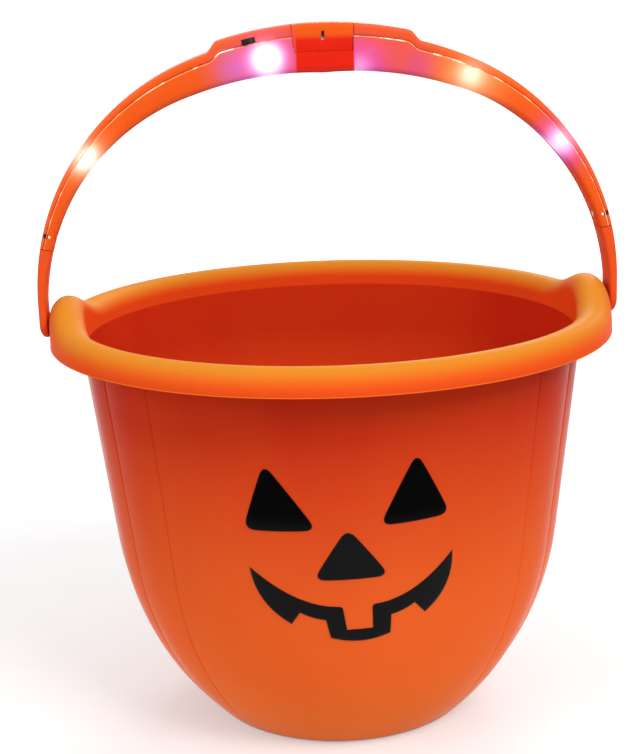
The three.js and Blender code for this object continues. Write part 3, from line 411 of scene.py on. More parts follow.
def pail_profile(angle):
    """Section of the pail at an angle, from the axis under the base to the axis on the floor."""
    radius, centre, top_angle = bowl_arc()
    inner = radius - PAIL_WALL
    lift = ear_lift(angle)
    crest = CREST_HEIGHT + lift
    shoulder = RIM_SHOULDER_HEIGHT + lift
    hollow = crest - RIM_WALL
    lip = RIM_EDGE_HEIGHT + RIM_LIP + lift
    quarter = pi / 2
    foot_start = asin((FOOT_ROUNDING - centre[1]) / radius)
    floor_end = asin((FLOOR_HEIGHT + FOOT_ROUNDING - centre[1]) / inner)
    ring = FOOT_RADIUS - FOOT_RING_WIDTH
    foot = FOOT_RADIUS - FOOT_ROUNDING
    rim_inside = RIM_RADIUS - RIM_WALL
    wall = arc(centre, (radius, radius), foot_start, top_angle, 26)
    wall += [(wall_radius(z), z) for z in range(BOWL_TOP_HEIGHT + 7, RIM_EDGE_HEIGHT, 8)]
    wall.append((BODY_TOP_RADIUS, RIM_EDGE_HEIGHT))
    bump = relief(angle)
    wall = [(r + bump * min(z / CREASE_FADE_HEIGHT, 1), z) for r, z in wall]
    shoulder_centre = (CREST_RADIUS, shoulder)
    lip_centre = (CREST_RADIUS, lip)
    inner_wall = arc(centre, (inner, inner), top_angle, floor_end, 24)
    floor_corner = inner_wall[-1][0] - 2 * FOOT_ROUNDING
    return [
        (0, FOOT_RECESS),
        (ring - RECESS_ROUNDING, FOOT_RECESS),
        (ring, FOOT_RECESS - EDGE_BREAK),
        (ring + FOOT_RECESS - EDGE_BREAK, EDGE_BREAK),
        (ring + FOOT_RECESS + 3 * EDGE_BREAK, 0),
        (foot, 0),
        (FOOT_RADIUS - FOOT_ROUNDING * 0.3, FOOT_ROUNDING * 0.25),
        *wall,
        *arc(shoulder_centre, (CREST_RADIUS - BODY_TOP_RADIUS, hollow - shoulder), 2 * quarter, quarter, 6),
        *arc(lip_centre, (rim_inside - CREST_RADIUS, hollow - lip), quarter, 0, 8)[1:],
        (rim_inside, RIM_EDGE_HEIGHT + 2 * EDGE_BREAK),
        (rim_inside + 2 * EDGE_BREAK, RIM_EDGE_HEIGHT),
        (RIM_RADIUS - EDGE_BREAK, RIM_EDGE_HEIGHT),
        (RIM_RADIUS, RIM_EDGE_HEIGHT + EDGE_BREAK),
        (RIM_RADIUS, RIM_EDGE_HEIGHT + 2 * FLASH_LINE),
        (RIM_RADIUS - FLASH_LINE, RIM_EDGE_HEIGHT + 3 * FLASH_LINE),
        *arc(lip_centre, (RIM_RADIUS - FLASH_LINE - CREST_RADIUS, crest - lip), 0, quarter, 16),
        *arc(shoulder_centre, (CREST_RADIUS - MOUTH_RADIUS, crest - shoulder), quarter, 2 * quarter, 10)[1:],
        (MOUTH_RADIUS, RIM_EDGE_HEIGHT),
        *inner_wall,
        (floor_corner + FOOT_ROUNDING * 0.6, FLOOR_HEIGHT + FOOT_ROUNDING * 0.25),
        (floor_corner, FLOOR_HEIGHT),
        (0, FLOOR_HEIGHT),
    ]


def make_pail():
    columns = pail_columns()
    return revolved("pail_body", columns, [pail_profile(angle) for angle in columns], lambda *point: point)


# Face

def rounded_outline(corners):
    """Outline with rounded corners and slightly bowed edges."""
    points = [Vector(corner) for corner in corners]
    centre = sum(points, Vector((0, 0))) / len(points)
    outline = []
    for i, corner in enumerate(points):
        before, after = points[i - 1], points[(i + 1) % len(points)]
        start = corner + (before - corner).normalized() * PATCH_CORNER
        end = corner + (after - corner).normalized() * PATCH_CORNER
        next_start = after + (corner - after).normalized() * PATCH_CORNER
        middle = (end + next_start) / 2
        edge = (after - corner).normalized()
        normal = Vector((edge.y, -edge.x))
        if normal.dot(middle - centre) < 0:
            normal = -normal
        outline += [tuple(start), *bend(start, corner, end, 6)]
        outline += bend(end, middle + normal * 2 * PATCH_BOW, next_start, 22)[:-1]
    return outline


def mouth_outline():
    """Smiling mouth with one upper tooth and a fang on each side, starting on the tooth."""
    def left(point):
        return (-point[0], point[1])

    def side(start, end, steps):
        return [tuple(Vector(start).lerp(Vector(end), i / steps)) for i in range(1, steps + 1)]

    tooth_middle = (0, TOOTH_CORNER[1])
    half = [
        *side(tooth_middle, TOOTH_CORNER, 4),
        *side(TOOTH_CORNER, UPPER_LIP_END, 8),
        *bend(UPPER_LIP_END, UPPER_LIP, UPPER_LIP_START, 6),
        *bend(UPPER_LIP_START, UPPER_BEND, MOUTH_TIP, 26),
        *bend(MOUTH_TIP, CHEEK_BEND, FANG_TIP, 24),
        *side(FANG_TIP, FANG_ROOT, 6),
        *bend(FANG_ROOT, STEP_BEND, LOWER_STEP, 10),
        *side(LOWER_STEP, LOWER_LIP, 7),
    ]
    bottom = bend(LOWER_LIP, MOUTH_BOTTOM, left(LOWER_LIP), 18)[:-1]
    return [tooth_middle, *half, *bottom, *(left(point) for point in reversed(half))]


def sides(outline):
    return zip(outline, outline[1:] + outline[:1])


def inside(point, outline):
    crossings = 0
    for (ax, ay), (bx, by) in sides(outline):
        if (ay > point[1]) != (by > point[1]) and point[0] < ax + (bx - ax) * (point[1] - ay) / (by - ay):
            crossings += 1
    return crossings % 2 == 1


def on_pail(x, z, offset):
    """Point of the face's flat sheet, wrapped on the front of the pail."""
    x, z = x - FACE_LEAN * (z - FACE_CENTRE_HEIGHT), z + FACE_RISE * x
    radius = wall_radius(z) + offset
    return (x, -sqrt(radius ** 2 - x ** 2), z)


def make_patch(name, outline):
    """Layer of black print on the pail, a little thinner along its edge."""
    count = len(outline)
    area = sum(a[0] * b[1] - b[0] * a[1] for a, b in sides(outline))
    inset = []
    for i, point in enumerate(outline):
        along = (Vector(outline[(i + 1) % count]) - Vector(outline[i - 1])).normalized()
        inward = Vector((-along.y, along.x)) * copysign(PATCH_BEVEL, area)
        inset.append(tuple(Vector(point) + inward))
    xs, zs = zip(*outline)
    grid = [
        (x, z)
        for x in range(int(min(xs)), int(max(xs)) + 1, PATCH_GRID)
        for z in range(int(min(zs)), int(max(zs)) + 1, PATCH_GRID)
        if inside((x, z), inset)
    ]
    spots = [Vector(point) for point in [*outline, *inset, *grid]]
    edges = [(i, (i + 1) % count) for i in range(count)]
    flat, _, triangles, origins, _, _ = delaunay_2d_cdt(spots, edges, [], 1, 1e-5)
    on_edge = [any(k < count for k in origin) for origin in origins]
    front = [on_pail(p.x, p.y, PATCH_EDGE if edge else PATCH_FACE) for p, edge in zip(flat, on_edge)]
    back = [on_pail(p.x, p.y, PATCH_BACK) for p in flat]
    faces = [tuple(t) for t in triangles]
    faces += [tuple(len(flat) + k for k in reversed(t)) for t in triangles]
    order = {k: i for i, origin in enumerate(origins) for k in origin if k < count}
    for a, b in edges:
        a, b = order[a], order[b]
        faces.append((a, b, b + len(flat), a + len(flat)))
    return make_piece(name, front + back, faces)


# Handle

def arch_arc(away):
    """Centre and radius of the plain arch's outer arc at an angle from the crown."""
    if away < CROWN_END:
        return (0, CROWN_CENTRE), CROWN_RADIUS
    return (SIDE_CENTRE, SPRING_HEIGHT), SIDE_RADIUS


def distance_at(angle):
    """Distance of the plain arch's outer line from the middle at an angle from the crown."""
    (x, _), radius = arch_arc(abs(angle))
    return x + radius * sin(abs(angle))


def angle_at(distance):
    away = abs(distance)
    if away < CROWN_RADIUS * sin(CROWN_END):
        return copysign(asin(away / CROWN_RADIUS), distance)
    return copysign(asin((away - SIDE_CENTRE) / SIDE_RADIUS), distance)


def raise_at(angle):
    """Height of the battery box over the plain arch, with soft ends to its ramps."""
    from_middle = abs(copysign(distance_at(angle), angle) - BOX_MIDDLE)
    share = min(max((BOX_FOOT_HALF_LENGTH - from_middle) / RAMP_LENGTH, 0), 1)
    return BOX_RAISE * share * share * (3 - 2 * share)


def in_handle(angle, depth, across):
    """Point of the handle at an angle from the crown and a depth in from the outer line."""
    (x, z), radius = arch_arc(abs(angle))
    radius = radius + raise_at(angle) - depth
    x += radius * sin(abs(angle))
    z += radius * cos(abs(angle))
    return copysign(x, angle), across, PIVOT_HEIGHT + z


def section_size(angle):
    """Thickness, width, seam depth, roof and floor depths of the handle's section."""
    share = abs(angle) / (pi / 2)
    thickness = CROWN_THICKNESS + (LEG_THICKNESS - CROWN_THICKNESS) * share + raise_at(angle)
    width = CROWN_WIDTH + (LEG_WIDTH - CROWN_WIDTH) * share
    split = SPLIT_SHARE * thickness
    return thickness, width, split, min(SHELL_WALL, ROOF_SHARE * split), thickness - SHELL_WALL


def handle_stations(end):
    """Angles from -end to end about a degree apart, and closer on the ramps of the battery box."""
    count = round(2 * degrees(end))
    stations = [end * (2 * i / count - 1) for i in range(count + 1)]
    ramp = [BOX_TOP_HALF_LENGTH + RAMP_LENGTH * i / RAMP_STEPS for i in range(RAMP_STEPS + 1)]
    for side in (-1, 1):
        fine = [angle_at(BOX_MIDDLE + side * away) for away in ramp]
        if max(map(abs, fine)) < end:
            low = min(fine) - RAMP_CLEARANCE
            high = max(fine) + RAMP_CLEARANCE
            stations = [a for a in stations if not low < a < high] + fine
    return sorted(stations)


def corner(depth, across, depth_sign, across_sign, radius, from_depth_side, steps):
    """Rounded corner of a section as (depth, across) pairs."""
    points = []
    for i in range(steps + 1):
        turn = (i if from_depth_side else steps - i) / steps * pi / 2
        points.append((depth - depth_sign * radius * (1 - sin(turn)),
                       across - across_sign * radius * (1 - cos(turn))))
    return points


def rounded_box(edge, back, half, edge_radius, back_radius, edge_steps, back_steps):
    """Section with four rounded corners between two depths."""
    sign = copysign(1, back - edge)
    return [
        *corner(edge, -half, -sign, -1, edge_radius, False, edge_steps),
        *corner(back, -half, sign, -1, back_radius, True, back_steps),
        *corner(back, half, sign, 1, back_radius, False, back_steps),
        *corner(edge, half, -sign, 1, edge_radius, True, edge_steps),
    ]


def shell_section(edge, back, inner, half, edge_radius, back_radius):
    """U-shaped section from its open edge to its rounded back."""
    wall = half - SHELL_WALL
    return [
        *rounded_box(edge, back, half, edge_radius, back_radius, 3, 6),
        (edge, wall),
        (inner, wall),
        (inner, -wall),
        (edge, -wall),
    ]


def channel_section(angle):
    thickness, width, split, _, floor = section_size(angle)
    depth = thickness - split
    rounding = min(SEAM_ROUNDING, CHANNEL_EDGE_SHARE * depth)
    radius = min(CHANNEL_CORNER, CHANNEL_CORNER_SHARE * depth)
    return shell_section(split + SEAM_GAP / 2, thickness, floor, width / 2, rounding, radius)


def cover_section(angle):
    _, width, split, roof, _ = section_size(angle)
    edge = split - SEAM_GAP / 2
    rounding = min(SEAM_ROUNDING, COVER_EDGE_SHARE * edge)
    radius = min(COVER_CORNER, COVER_CORNER_SHARE * edge)
    return shell_section(edge, 0, roof, width / 2 - COVER_INSET, rounding, radius)


def door_section(angle):
    thickness, width, _, roof, _ = section_size(angle)
    half = width / 2
    flap = DOOR_FLAP_SHARE * thickness + FIT_GAP - SEAM_GAP
    return [
        (flap, -half),
        *corner(0, -half, -1, -1, COVER_CORNER, True, 6),
        (0, DOOR_BACK_EDGE),
        (roof, DOOR_BACK_EDGE),
        (roof, -half + SHELL_WALL),
        (flap, -half + SHELL_WALL),
    ]


def door_room_section(angle):
    thickness, width, split, _, _ = section_size(angle)
    outside = 2 * SHELL_WALL
    front = -width / 2 - outside
    flap_back = -width / 2 + SHELL_WALL + FIT_GAP
    flap = DOOR_FLAP_SHARE * thickness + FIT_GAP
    seam = split + FIT_GAP / 2
    back = DOOR_BACK_EDGE + FIT_GAP
    return [
        (-outside, front),
        (-outside, back),
        (seam, back),
        (seam, flap_back),
        (flap, flap_back),
        (flap, front),
    ]


def door_room():
    stations = handle_stations(DOOR_END + FIT_GAP / CROWN_RADIUS)
    return loft("door_room", stations, door_room_section, in_handle)


def at_handle(angle, depth, across):
    """Function that places points with x along the handle, y across it and z outwards."""
    x0, y0, z0 = in_handle(angle, depth, across)

    def place(x, y, z):
        return (x0 + x * cos(angle) + z * sin(angle), y0 + y,
                z0 - x * sin(angle) + z * cos(angle))
    return place


def slider_slot():
    angle = angle_at(SWITCH_DISTANCE)
    _, width, split, _, _ = section_size(angle)
    top = SWITCH_DEPTH - SLIDER_SLOT_HEIGHT / 2
    bottom = max(SWITCH_DEPTH + SLIDER_SLOT_HEIGHT / 2, split)
    place = at_handle(angle, (top + bottom) / 2, -width / 2)
    size = (SLIDER_SLOT_LENGTH, 3 * SHELL_WALL, bottom - top)
    return block("slider_slot", size, lambda x, y, z: place(x + SWITCH_SHIFT, y, z))


def screw_recess(side):
    angle = side * LEG_SCREW_ANGLE
    place = at_handle(angle, section_size(angle)[0], 0)
    radius = SCREW_HEAD_DIAMETER / 2 + FIT_GAP
    return rod("screw_recess", radius, -CUT_MARGIN, SCREW_RECESS_DEPTH, place)


def handle_place(point):
    """Angle from the crown and depth in from the outer line, of a point in metres."""
    x, z = abs(point.x) / MM, point.z / MM - PIVOT_HEIGHT
    centre, radius = arch_arc(atan2(x, z - CROWN_CENTRE))
    x, z = x - centre[0], z - centre[1]
    angle = copysign(atan2(x, z), point.x)
    return angle, radius + raise_at(angle) - hypot(x, z)


def mark_seam_edge(shell):
    """Gives the second material, a painted highlight, to the rounded edge along the seam."""
    shell.data.materials.append(painted_seam_glint())
    for face in shell.data.polygons:
        angle, depth = handle_place(face.center)
        _, width, split, _, _ = section_size(angle)
        on_side = abs(face.center.y) / MM > width / 2 - SEAM_ROUNDING
        if on_side and 0 < depth - split < SEAM_GLINT:
            face.material_index = 1


def make_shell(name, section_at, *tools):
    """Lit shell of the arch, open for the door, the slider and what the tools cut."""
    shell = loft(name, handle_stations(SEAM_ANGLE), section_at, in_handle)
    return cut(shell, door_room(), slider_slot(), *tools)


def at_door_screw(x, y, z):
    """Point near the door's screw, measured from the middle of its hole's upper edge."""
    x0, _, z0 = in_handle(asin(DOOR_SCREW_X / CROWN_RADIUS), 0, 0)
    return x0 + x, y, z0 + z


def make_door():
    door = loft("battery_cover", handle_stations(DOOR_END), door_section, in_handle)
    _, width, split, _, _ = section_size(0)
    slot_size = (LATCH_SLOT_WIDTH, 3 * SHELL_WALL, LATCH_SLOT_HEIGHT)
    slot = block("latch_slot", slot_size, at_handle(0, split, -width / 2))
    hole = [
        (0, -DOOR_HOLE_DEPTH),
        (DOOR_HOLE_RADIUS, -DOOR_HOLE_DEPTH),
        (DOOR_HOLE_RADIUS, -COUNTERSINK_DEPTH),
        (COUNTERSINK_RADIUS, 0),
        (COUNTERSINK_RADIUS, CUT_MARGIN),
        (0, CUT_MARGIN),
    ]
    return soften(cut(door, slot, turned("screw_hole", hole, 32, at_door_screw)), DOOR_ROUNDING)


def make_door_screw():
    shank = SCREW_DIAMETER / 2
    head = SCREW_HEAD_DIAMETER / 2
    profile = [
        (0, -DOOR_SCREW_LENGTH),
        (shank, -DOOR_SCREW_LENGTH),
        (shank, -DOOR_SCREW_NECK),
        (head, -DOOR_SCREW_SINK - EDGE_BREAK),
        (head - EDGE_BREAK, -DOOR_SCREW_SINK),
        (0, -DOOR_SCREW_SINK),
    ]
    bars = [
        block("cross", size, lambda x, y, z: at_door_screw(x, y, z - CROSS_DROP))
        for size in ((CROSS_LENGTH, CROSS_WIDTH, CROSS_HEIGHT), (CROSS_WIDTH, CROSS_LENGTH, CROSS_HEIGHT))
    ]
    return cut(turned("door_fixing", profile, 32, at_door_screw), *bars)


def past_arch(station):
    """Length of the straight leg down from the arch's end to a station."""
    return (station - pi / 2) * SIDE_RADIUS


def in_strap(side):
    """Function that places points of a leg, by angle along the arch and then straight down."""
    def place(station, depth, across):
        if past_arch(station) <= 0:
            return in_handle(side * station, depth, across)
        return side * (HALF_SPAN - depth), across, PIVOT_HEIGHT + SPRING_HEIGHT - past_arch(station)
    return place


def strap_section(station):
    """Soft-edged section of a leg, which narrows and thins round its lower end."""
    below_pivot = max(past_arch(station) - SPRING_HEIGHT, 0)
    half = sqrt((LEG_WIDTH / 2) ** 2 - below_pivot ** 2)
    inner = section_size(min(station, pi / 2))[0]
    outer = STRAP_TIP_TAPER * (2 * below_pivot / LEG_WIDTH) ** 3
    radius = min(STRAP_CORNER, STRAP_EDGE_SHARE * (inner - outer), STRAP_TIP_SHARE * half)
    return rounded_box(outer, inner, half, radius, radius, 4, 4)


def tongue_section(angle):
    """Section of the tongue in the shells, which narrows to its point."""
    point = TONGUE_POINT_SHARE * TONGUE_LENGTH / SIDE_RADIUS
    share = min(1, (angle - TONGUE_END) / point)
    room = section_size(SEAM_ANGLE)[1] / 2 - SHELL_WALL - 2 * FIT_GAP
    half = room * (TONGUE_TIP_SHARE + (1 - TONGUE_TIP_SHARE) * share)
    _, _, _, roof, floor = section_size(angle)
    low = (roof + floor - TONGUE_THICKNESS) / 2
    high = low + TONGUE_THICKNESS
    return [(low, -half), (high, -half), (high, half), (low, half)]


def at_pivot(side):
    """Function that places points across and, with z, outwards along a pivot's axis."""
    return lambda x, y, z: (side * z, x, PIVOT_HEIGHT + y)


def make_strap(name, side):
    """Leg of the handle with its tongue, the rivet's hole and the screw's hole."""
    quarter = pi / 2
    start = SEAM_ANGLE + FIT_GAP / SIDE_RADIUS
    stations = [start + (quarter - start) * i / 12 for i in range(13)]
    drops = [SPRING_HEIGHT * i / 4 for i in range(1, 5)]
    drops += [SPRING_HEIGHT + LEG_WIDTH / 2 * sin(quarter * i / 14) for i in range(1, 14)]
    stations += [quarter + drop / SIDE_RADIUS for drop in drops]
    strap = loft(name, stations, strap_section, in_strap(side))
    root = start + LEG_THICKNESS / 2 / SIDE_RADIUS
    along = [TONGUE_END + (root - TONGUE_END) * i / 10 for i in range(11)]
    tongue = loft("tongue", along, tongue_section, in_strap(side))
    floor = HALF_SPAN - PIN_HEAD_HEIGHT - FIT_GAP
    reach = 2 * HALF_SPAN
    bore = PIN_RADIUS + FIT_GAP
    head = PIN_HEAD_RADIUS + FIT_GAP
    room = [(0, MOUTH_RADIUS), (bore, MOUTH_RADIUS), (bore, floor), (head, floor), (head, reach), (0, reach)]
    rivet_room = turned("rivet_room", room, 40, at_pivot(side))
    at_screw = at_handle(side * LEG_SCREW_ANGLE, LEG_THICKNESS, 0)
    through = 2 * LEG_THICKNESS
    screw_room = rod("screw_room", SCREW_DIAMETER / 2 + FIT_GAP, -through, through, at_screw)
    return cut(cut(strap, tongue, operation="UNION"), rivet_room, screw_room)


def make_pin(name, side):
    """Snap rivet with a low domed head, sunk in the leg."""
    head = HALF_SPAN - PIN_HEAD_HEIGHT
    dome_centre = (PIN_HEAD_RADIUS - PIN_DOME_WIDTH, HALF_SPAN - PIN_DOME_HEIGHT)
    dimple_floor = HALF_SPAN - PIN_DIMPLE_DEPTH
    profile = [
        (0, PIN_TIP_X),
        (PIN_TIP_RADIUS, PIN_TIP_X),
        (PIN_BARB_RADIUS, PIN_BARB_START_X),
        (PIN_BARB_RADIUS, PIN_BARB_END_X),
        (PIN_RADIUS, PIN_BARB_END_X),
        (PIN_RADIUS, head),
        (PIN_HEAD_RADIUS, head),
        *arc(dome_centre, (PIN_DOME_WIDTH, PIN_DOME_HEIGHT), 0, pi / 2, 7),
        (PIN_DIMPLE_RADIUS, HALF_SPAN),
        (PIN_DIMPLE_FLOOR_RADIUS, dimple_floor),
        (0, dimple_floor),
    ]
    return turned(name, profile, 40, at_pivot(side))


def softened_copy(node, name, width):
    """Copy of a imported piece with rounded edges."""
    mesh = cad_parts[node].data.copy()
    with editing(mesh) as work:
        bmesh.ops.remove_doubles(work, verts=work.verts, dist=1e-6)
        bmesh.ops.dissolve_limit(work, angle_limit=radians(0.5), verts=work.verts, edges=work.edges)
    mesh.name = name
    return soften(add_object(name, mesh), width)


# Materials

class Look:
    """A Principled material and the nodes that feed it."""

    def __init__(self, name, color, roughness, specular=0.5):
        self.color = color
        self.roughness = roughness
        self.material = bpy.data.materials.new(name)
        self.material.use_nodes = True
        self.tree = self.material.node_tree
        self.shader = self.tree.nodes["Principled BSDF"]
        self.shade("Base Color", color)
        self.shade("Roughness", roughness)
        self.shade("Specular IOR Level", specular)

    def shade(self, name, value):
        """Gives one of the shader's inputs a value or a node's output."""
        self.feed(self.shader.inputs[name], value)

    def feed(self, socket, value):
        if isinstance(value, bpy.types.NodeSocket):
            self.tree.links.new(value, socket)
        else:
            socket.default_value = value

    def node(self, kind, *values, **inputs):
        """New node, with values for its first inputs in order and for others by name."""
        node = self.tree.nodes.new("ShaderNode" + kind)
        for socket, value in zip(node.inputs, values):
            self.feed(socket, value)
        for name, value in inputs.items():
            self.feed(node.inputs[name], value)
        return node

    def math(self, operation, *values):
        node = self.node("Math", *values)
        node.operation = operation
        return node.outputs[0]

    def product(self, first, *others):
        for other in others:
            first = self.math("MULTIPLY", first, other)
        return first

    def vector(self, operation, *values, scale=None):
        node = self.node("VectorMath", *values)
        node.operation = operation
        if scale is not None:
            self.feed(node.inputs["Scale"], scale)
        is_number = operation in ("DISTANCE", "DOT_PRODUCT", "LENGTH")
        return node.outputs["Value" if is_number else "Vector"]

    def place(self):
        return self.node("TexCoord").outputs["Object"]

    def along(self, axis):
        """Place along one axis, in metres."""
        return self.node("SeparateXYZ", Vector=self.place()).outputs[axis]

    def normal(self):
        return self.node("NewGeometry").outputs["Normal"]

    def noise(self, scale, detail=3, stretch=None):
        """Noise over the object, with a scale in features per metre."""
        where = self.place()
        if stretch:
            where = self.node("Mapping", Vector=where, Scale=stretch).outputs[0]
        return self.node("TexNoise", Vector=where, Scale=scale, Detail=detail).outputs["Fac"]

    def ramp(self, factor, *stops):
        node = self.node("ValToRGB", Fac=factor)
        elements = node.color_ramp.elements
        while len(elements) < len(stops):
            elements.new(0.5)
        for element, (position, color) in zip(elements, stops):
            element.position = position
            element.color = color
        return node.outputs["Color"]

    def blend(self, factor, first, second):
        node = self.node("Mix")
        node.data_type = "RGBA"
        self.feed(node.inputs["Factor"], factor)
        self.feed(node.inputs[6], first)
        self.feed(node.inputs[7], second)
        return node.outputs[2]

    def range(self, value, low, high, to_low=0.0, to_high=1.0, curve="SMOOTHSTEP"):
        limits = {"From Min": low, "From Max": high, "To Min": to_low, "To Max": to_high}
        node = self.node("MapRange", Value=value, **limits)
        node.interpolation_type = curve
        return node.outputs["Result"]

    def border(self, axis, low, high, rising=True):
        """0 before and 1 after a soft border along an axis in millimetres, or the other way round."""
        ends = (0.0, 1.0) if rising else (1.0, 0.0)
        return self.range(self.along(axis), low * MM, high * MM, *ends)

    def bump(self, height, strength, distance_mm):
        node = self.node("Bump", Height=height, Strength=strength, Distance=distance_mm * MM)
        self.shade("Normal", node.outputs[0])

    def moulded(self, grain=0.04):
        """Moulded plastic: slight colour flow, uneven gloss and a very fine ripple."""
        dark, light = scaled(self.color, 1 - grain), scaled(self.color, 1 + grain)
        self.shade("Base Color", self.ramp(self.noise(35, 4), (0.3, dark), (0.7, light)))
        least, most = self.roughness * 0.85, self.roughness * 1.2
        self.shade("Roughness", self.range(self.noise(220, 2), 0.3, 0.7, least, most))
        self.bump(self.noise(900, 2), 0.08, 0.05)
        return self.material


def pail_plastic():
    """Glossy orange wall painted darker towards the rim as shade and lighter near the foot as light, with a
    satin rim painted lighter where it faces up.
    """
    look = Look("pail_plastic", srgb(226, 90, 40), 0.3, specular=0.012)
    # Painted shade and light: the wall is painted darker towards the rim, standing in for the rim's shadow,
    # and lighter near the foot.
    wall = look.ramp(
        look.range(look.along("Z"), 0.0, RIM_EDGE_HEIGHT * MM, curve="LINEAR"),
        (0.0, srgb(255, 132, 54)),
        (0.25, srgb(245, 106, 43)),
        (0.48, srgb(225, 90, 37)),
        (0.72, srgb(207, 66, 28)),
        (0.88, srgb(186, 43, 20)),
        (1.0, srgb(192, 42, 18)),
    )
    flow = look.range(look.noise(16, 3, (1, 1, 0.4)), 0.35, 0.65)
    wall = look.blend(0.08, wall, look.ramp(flow, (0, srgb(190, 52, 20)), (1, srgb(240, 116, 40))))
    upwards = look.node("SeparateXYZ", Vector=look.normal()).outputs["Z"]
    # Painted light: the rim is painted lighter on faces that look up and darker on faces that look down.
    rim = look.ramp(
        look.range(upwards, -0.2, 1.0),
        (0.0, srgb(222, 70, 24)),
        (0.35, srgb(222, 86, 26)),
        (0.7, srgb(214, 110, 30)),
        (1.0, srgb(208, 130, 38)),
    )
    on_rim = look.border("Z", RIM_EDGE_HEIGHT - 0.6, RIM_EDGE_HEIGHT + 0.2)
    look.shade("Base Color", look.blend(on_rim, wall, rim))
    speckle = look.range(look.noise(260, 3), 0.3, 0.7, -0.03, 0.04)
    look.shade("Roughness", look.math("ADD", look.range(on_rim, 0, 1, 0.2, 0.42), speckle))
    look.bump(look.noise(45, 2, (1, 1, 0.5)), 0.12, 0.6)
    return look.material


def face_ink():
    """Black print, glossier on the mouth and nose than on the eyes."""
    look = Look("face_ink", srgb(5, 5, 5), 0.22, specular=0.1)
    gloss = look.range(look.along("Z"), INK_GLOSS_TOP * MM, INK_DULL_BOTTOM * MM, 0.1, 0.01)
    look.shade("Specular IOR Level", gloss)
    return look.moulded()


# Lights: angle from the crown, drop towards the channel's floor, colour of the halo, strengths of
# the core and of the halo, and the halo's reach
WHITE = (1.0, 0.95, 0.88)
VIOLET = (0.3, 0.06, 0.95)
PURPLE = (0.1, 0.0, 1.0)
PINK = (0.05, 0.0, 0.6)
LILAC = (0.1, 0.2, 0.6)
# VEIL is painted light: the magenta of the violet lights, painted into the shells' colour.
VEIL = srgb(176, 40, 120)
YELLOW = (0.85, 0.62, 0.22)
GLOWS = {
    "led_1": (-radians(53.2), -1.4, YELLOW, 3.4, 0.5, 9),
    "led_2": (-radians(25.2), 0, YELLOW, 0, 0, 9),
    "led_3": (-angle_at(22.5), 2.2, VIOLET, 5, 0.75, 9.5),
    "led_4": (angle_at(14.5), 7.5, PURPLE, 0.5, 0.45, 9.5),
    "led_5": (radians(25.2), 0, YELLOW, 1.3, 0.5, 11.5),
    "led_6": (radians(53.2), 0, VIOLET, 1.8, 0.7, 8),
}
# Faint spots where coloured light gathers: distance from the middle, drop, colour, strength, reach
FAINT_GLOWS = [
    (-36, 3, LILAC, 0.55, 7),
    (27, 0, PINK, 0.08, 12),
    (38.5, 2.5, PINK, 0.28, 6),
]
CORE_REACH = 4.6
# Marks of each leg screw on the shells: a dark spot, the screw seen through with painted shade in its hole,
# and a painted highlight on its edge: depth, reach, colour
SCREW_SPOTS_AND_GLINTS = [
    (1.3, 1.15, srgb(40, 16, 10)),
    (2.7, 0.55, (1, 0.85, 0.6, 1)),
]
# Drops below the crown at which the painted glints along the seam are faint and full
EDGE_FAINT_DROP = 25
EDGE_FULL_DROP = 10
# The red tray behind the battery door, along x
TRAY_LEFT = -10.4
TRAY_RIGHT = 11.6
TRAY_RED = srgb(230, 40, 22)


def light_place(angle, drop):
    """Middle of a light's glow, in metres."""
    _, width, _, roof, floor = section_size(angle)
    front = -width / 2 + SHELL_WALL + LIGHT_TIP_GAP
    return Vector(in_handle(angle, (roof + floor) / 2 + drop, front + LIGHT_DIAMETER / 2)) * MM


def falls_off(look, place, reach):
    """1 at a place in metres and less with distance, over a reach in millimetres."""
    distance = look.vector("DISTANCE", look.place(), place)
    near = look.math("DIVIDE", distance, reach * MM)
    return look.math("EXPONENT", look.product(near, near, -1.0))


def glow_of_lights(look):
    """Colour of the light in the plastic, and how far coloured light hides the plastic's own."""
    glow = (0, 0, 0)
    veil = 0.0

    def add(near, color, level):
        nonlocal glow, veil
        part = look.vector("SCALE", color, scale=look.product(near, level))
        glow = look.vector("ADD", glow, part)
        if color[2] > color[1]:
            veil = look.math("MAXIMUM", veil, look.product(near, min(1, 1.2 * level)))

    for angle, drop, tint, core, halo, halo_reach in GLOWS.values():
        if core:
            place = light_place(angle, drop)
            add(falls_off(look, place, CORE_REACH), WHITE, core)
            add(falls_off(look, place, halo_reach), tint, halo)
    for distance, drop, tint, level, reach in FAINT_GLOWS:
        add(falls_off(look, light_place(angle_at(distance), drop), reach), tint, level)
    return glow, veil


def matt_inside_arch(look, level):
    """A specular level that drops to none on faces that look in towards the middle of the arch."""
    inwards = look.vector("SUBTRACT", Vector((0, 0, PIVOT_HEIGHT)) * MM, look.place())
    inwards = look.vector("NORMALIZE", inwards)
    facing = look.vector("DOT_PRODUCT", inwards, look.normal())
    return look.range(facing, 0.5, 0.9, level, 0.0)


def screw_spot_mask(look, depth, reach):
    """1 where a mark of the leg screws is painted on the front of the shells, else 0."""
    total = 0.0
    for side in (-1, 1):
        angle = side * LEG_SCREW_ANGLE
        front = -section_size(angle)[1] / 2
        near = falls_off(look, Vector(in_handle(angle, depth, front)) * MM, reach)
        total = look.math("ADD", total, look.range(near, 0.35, 0.5))
    return total


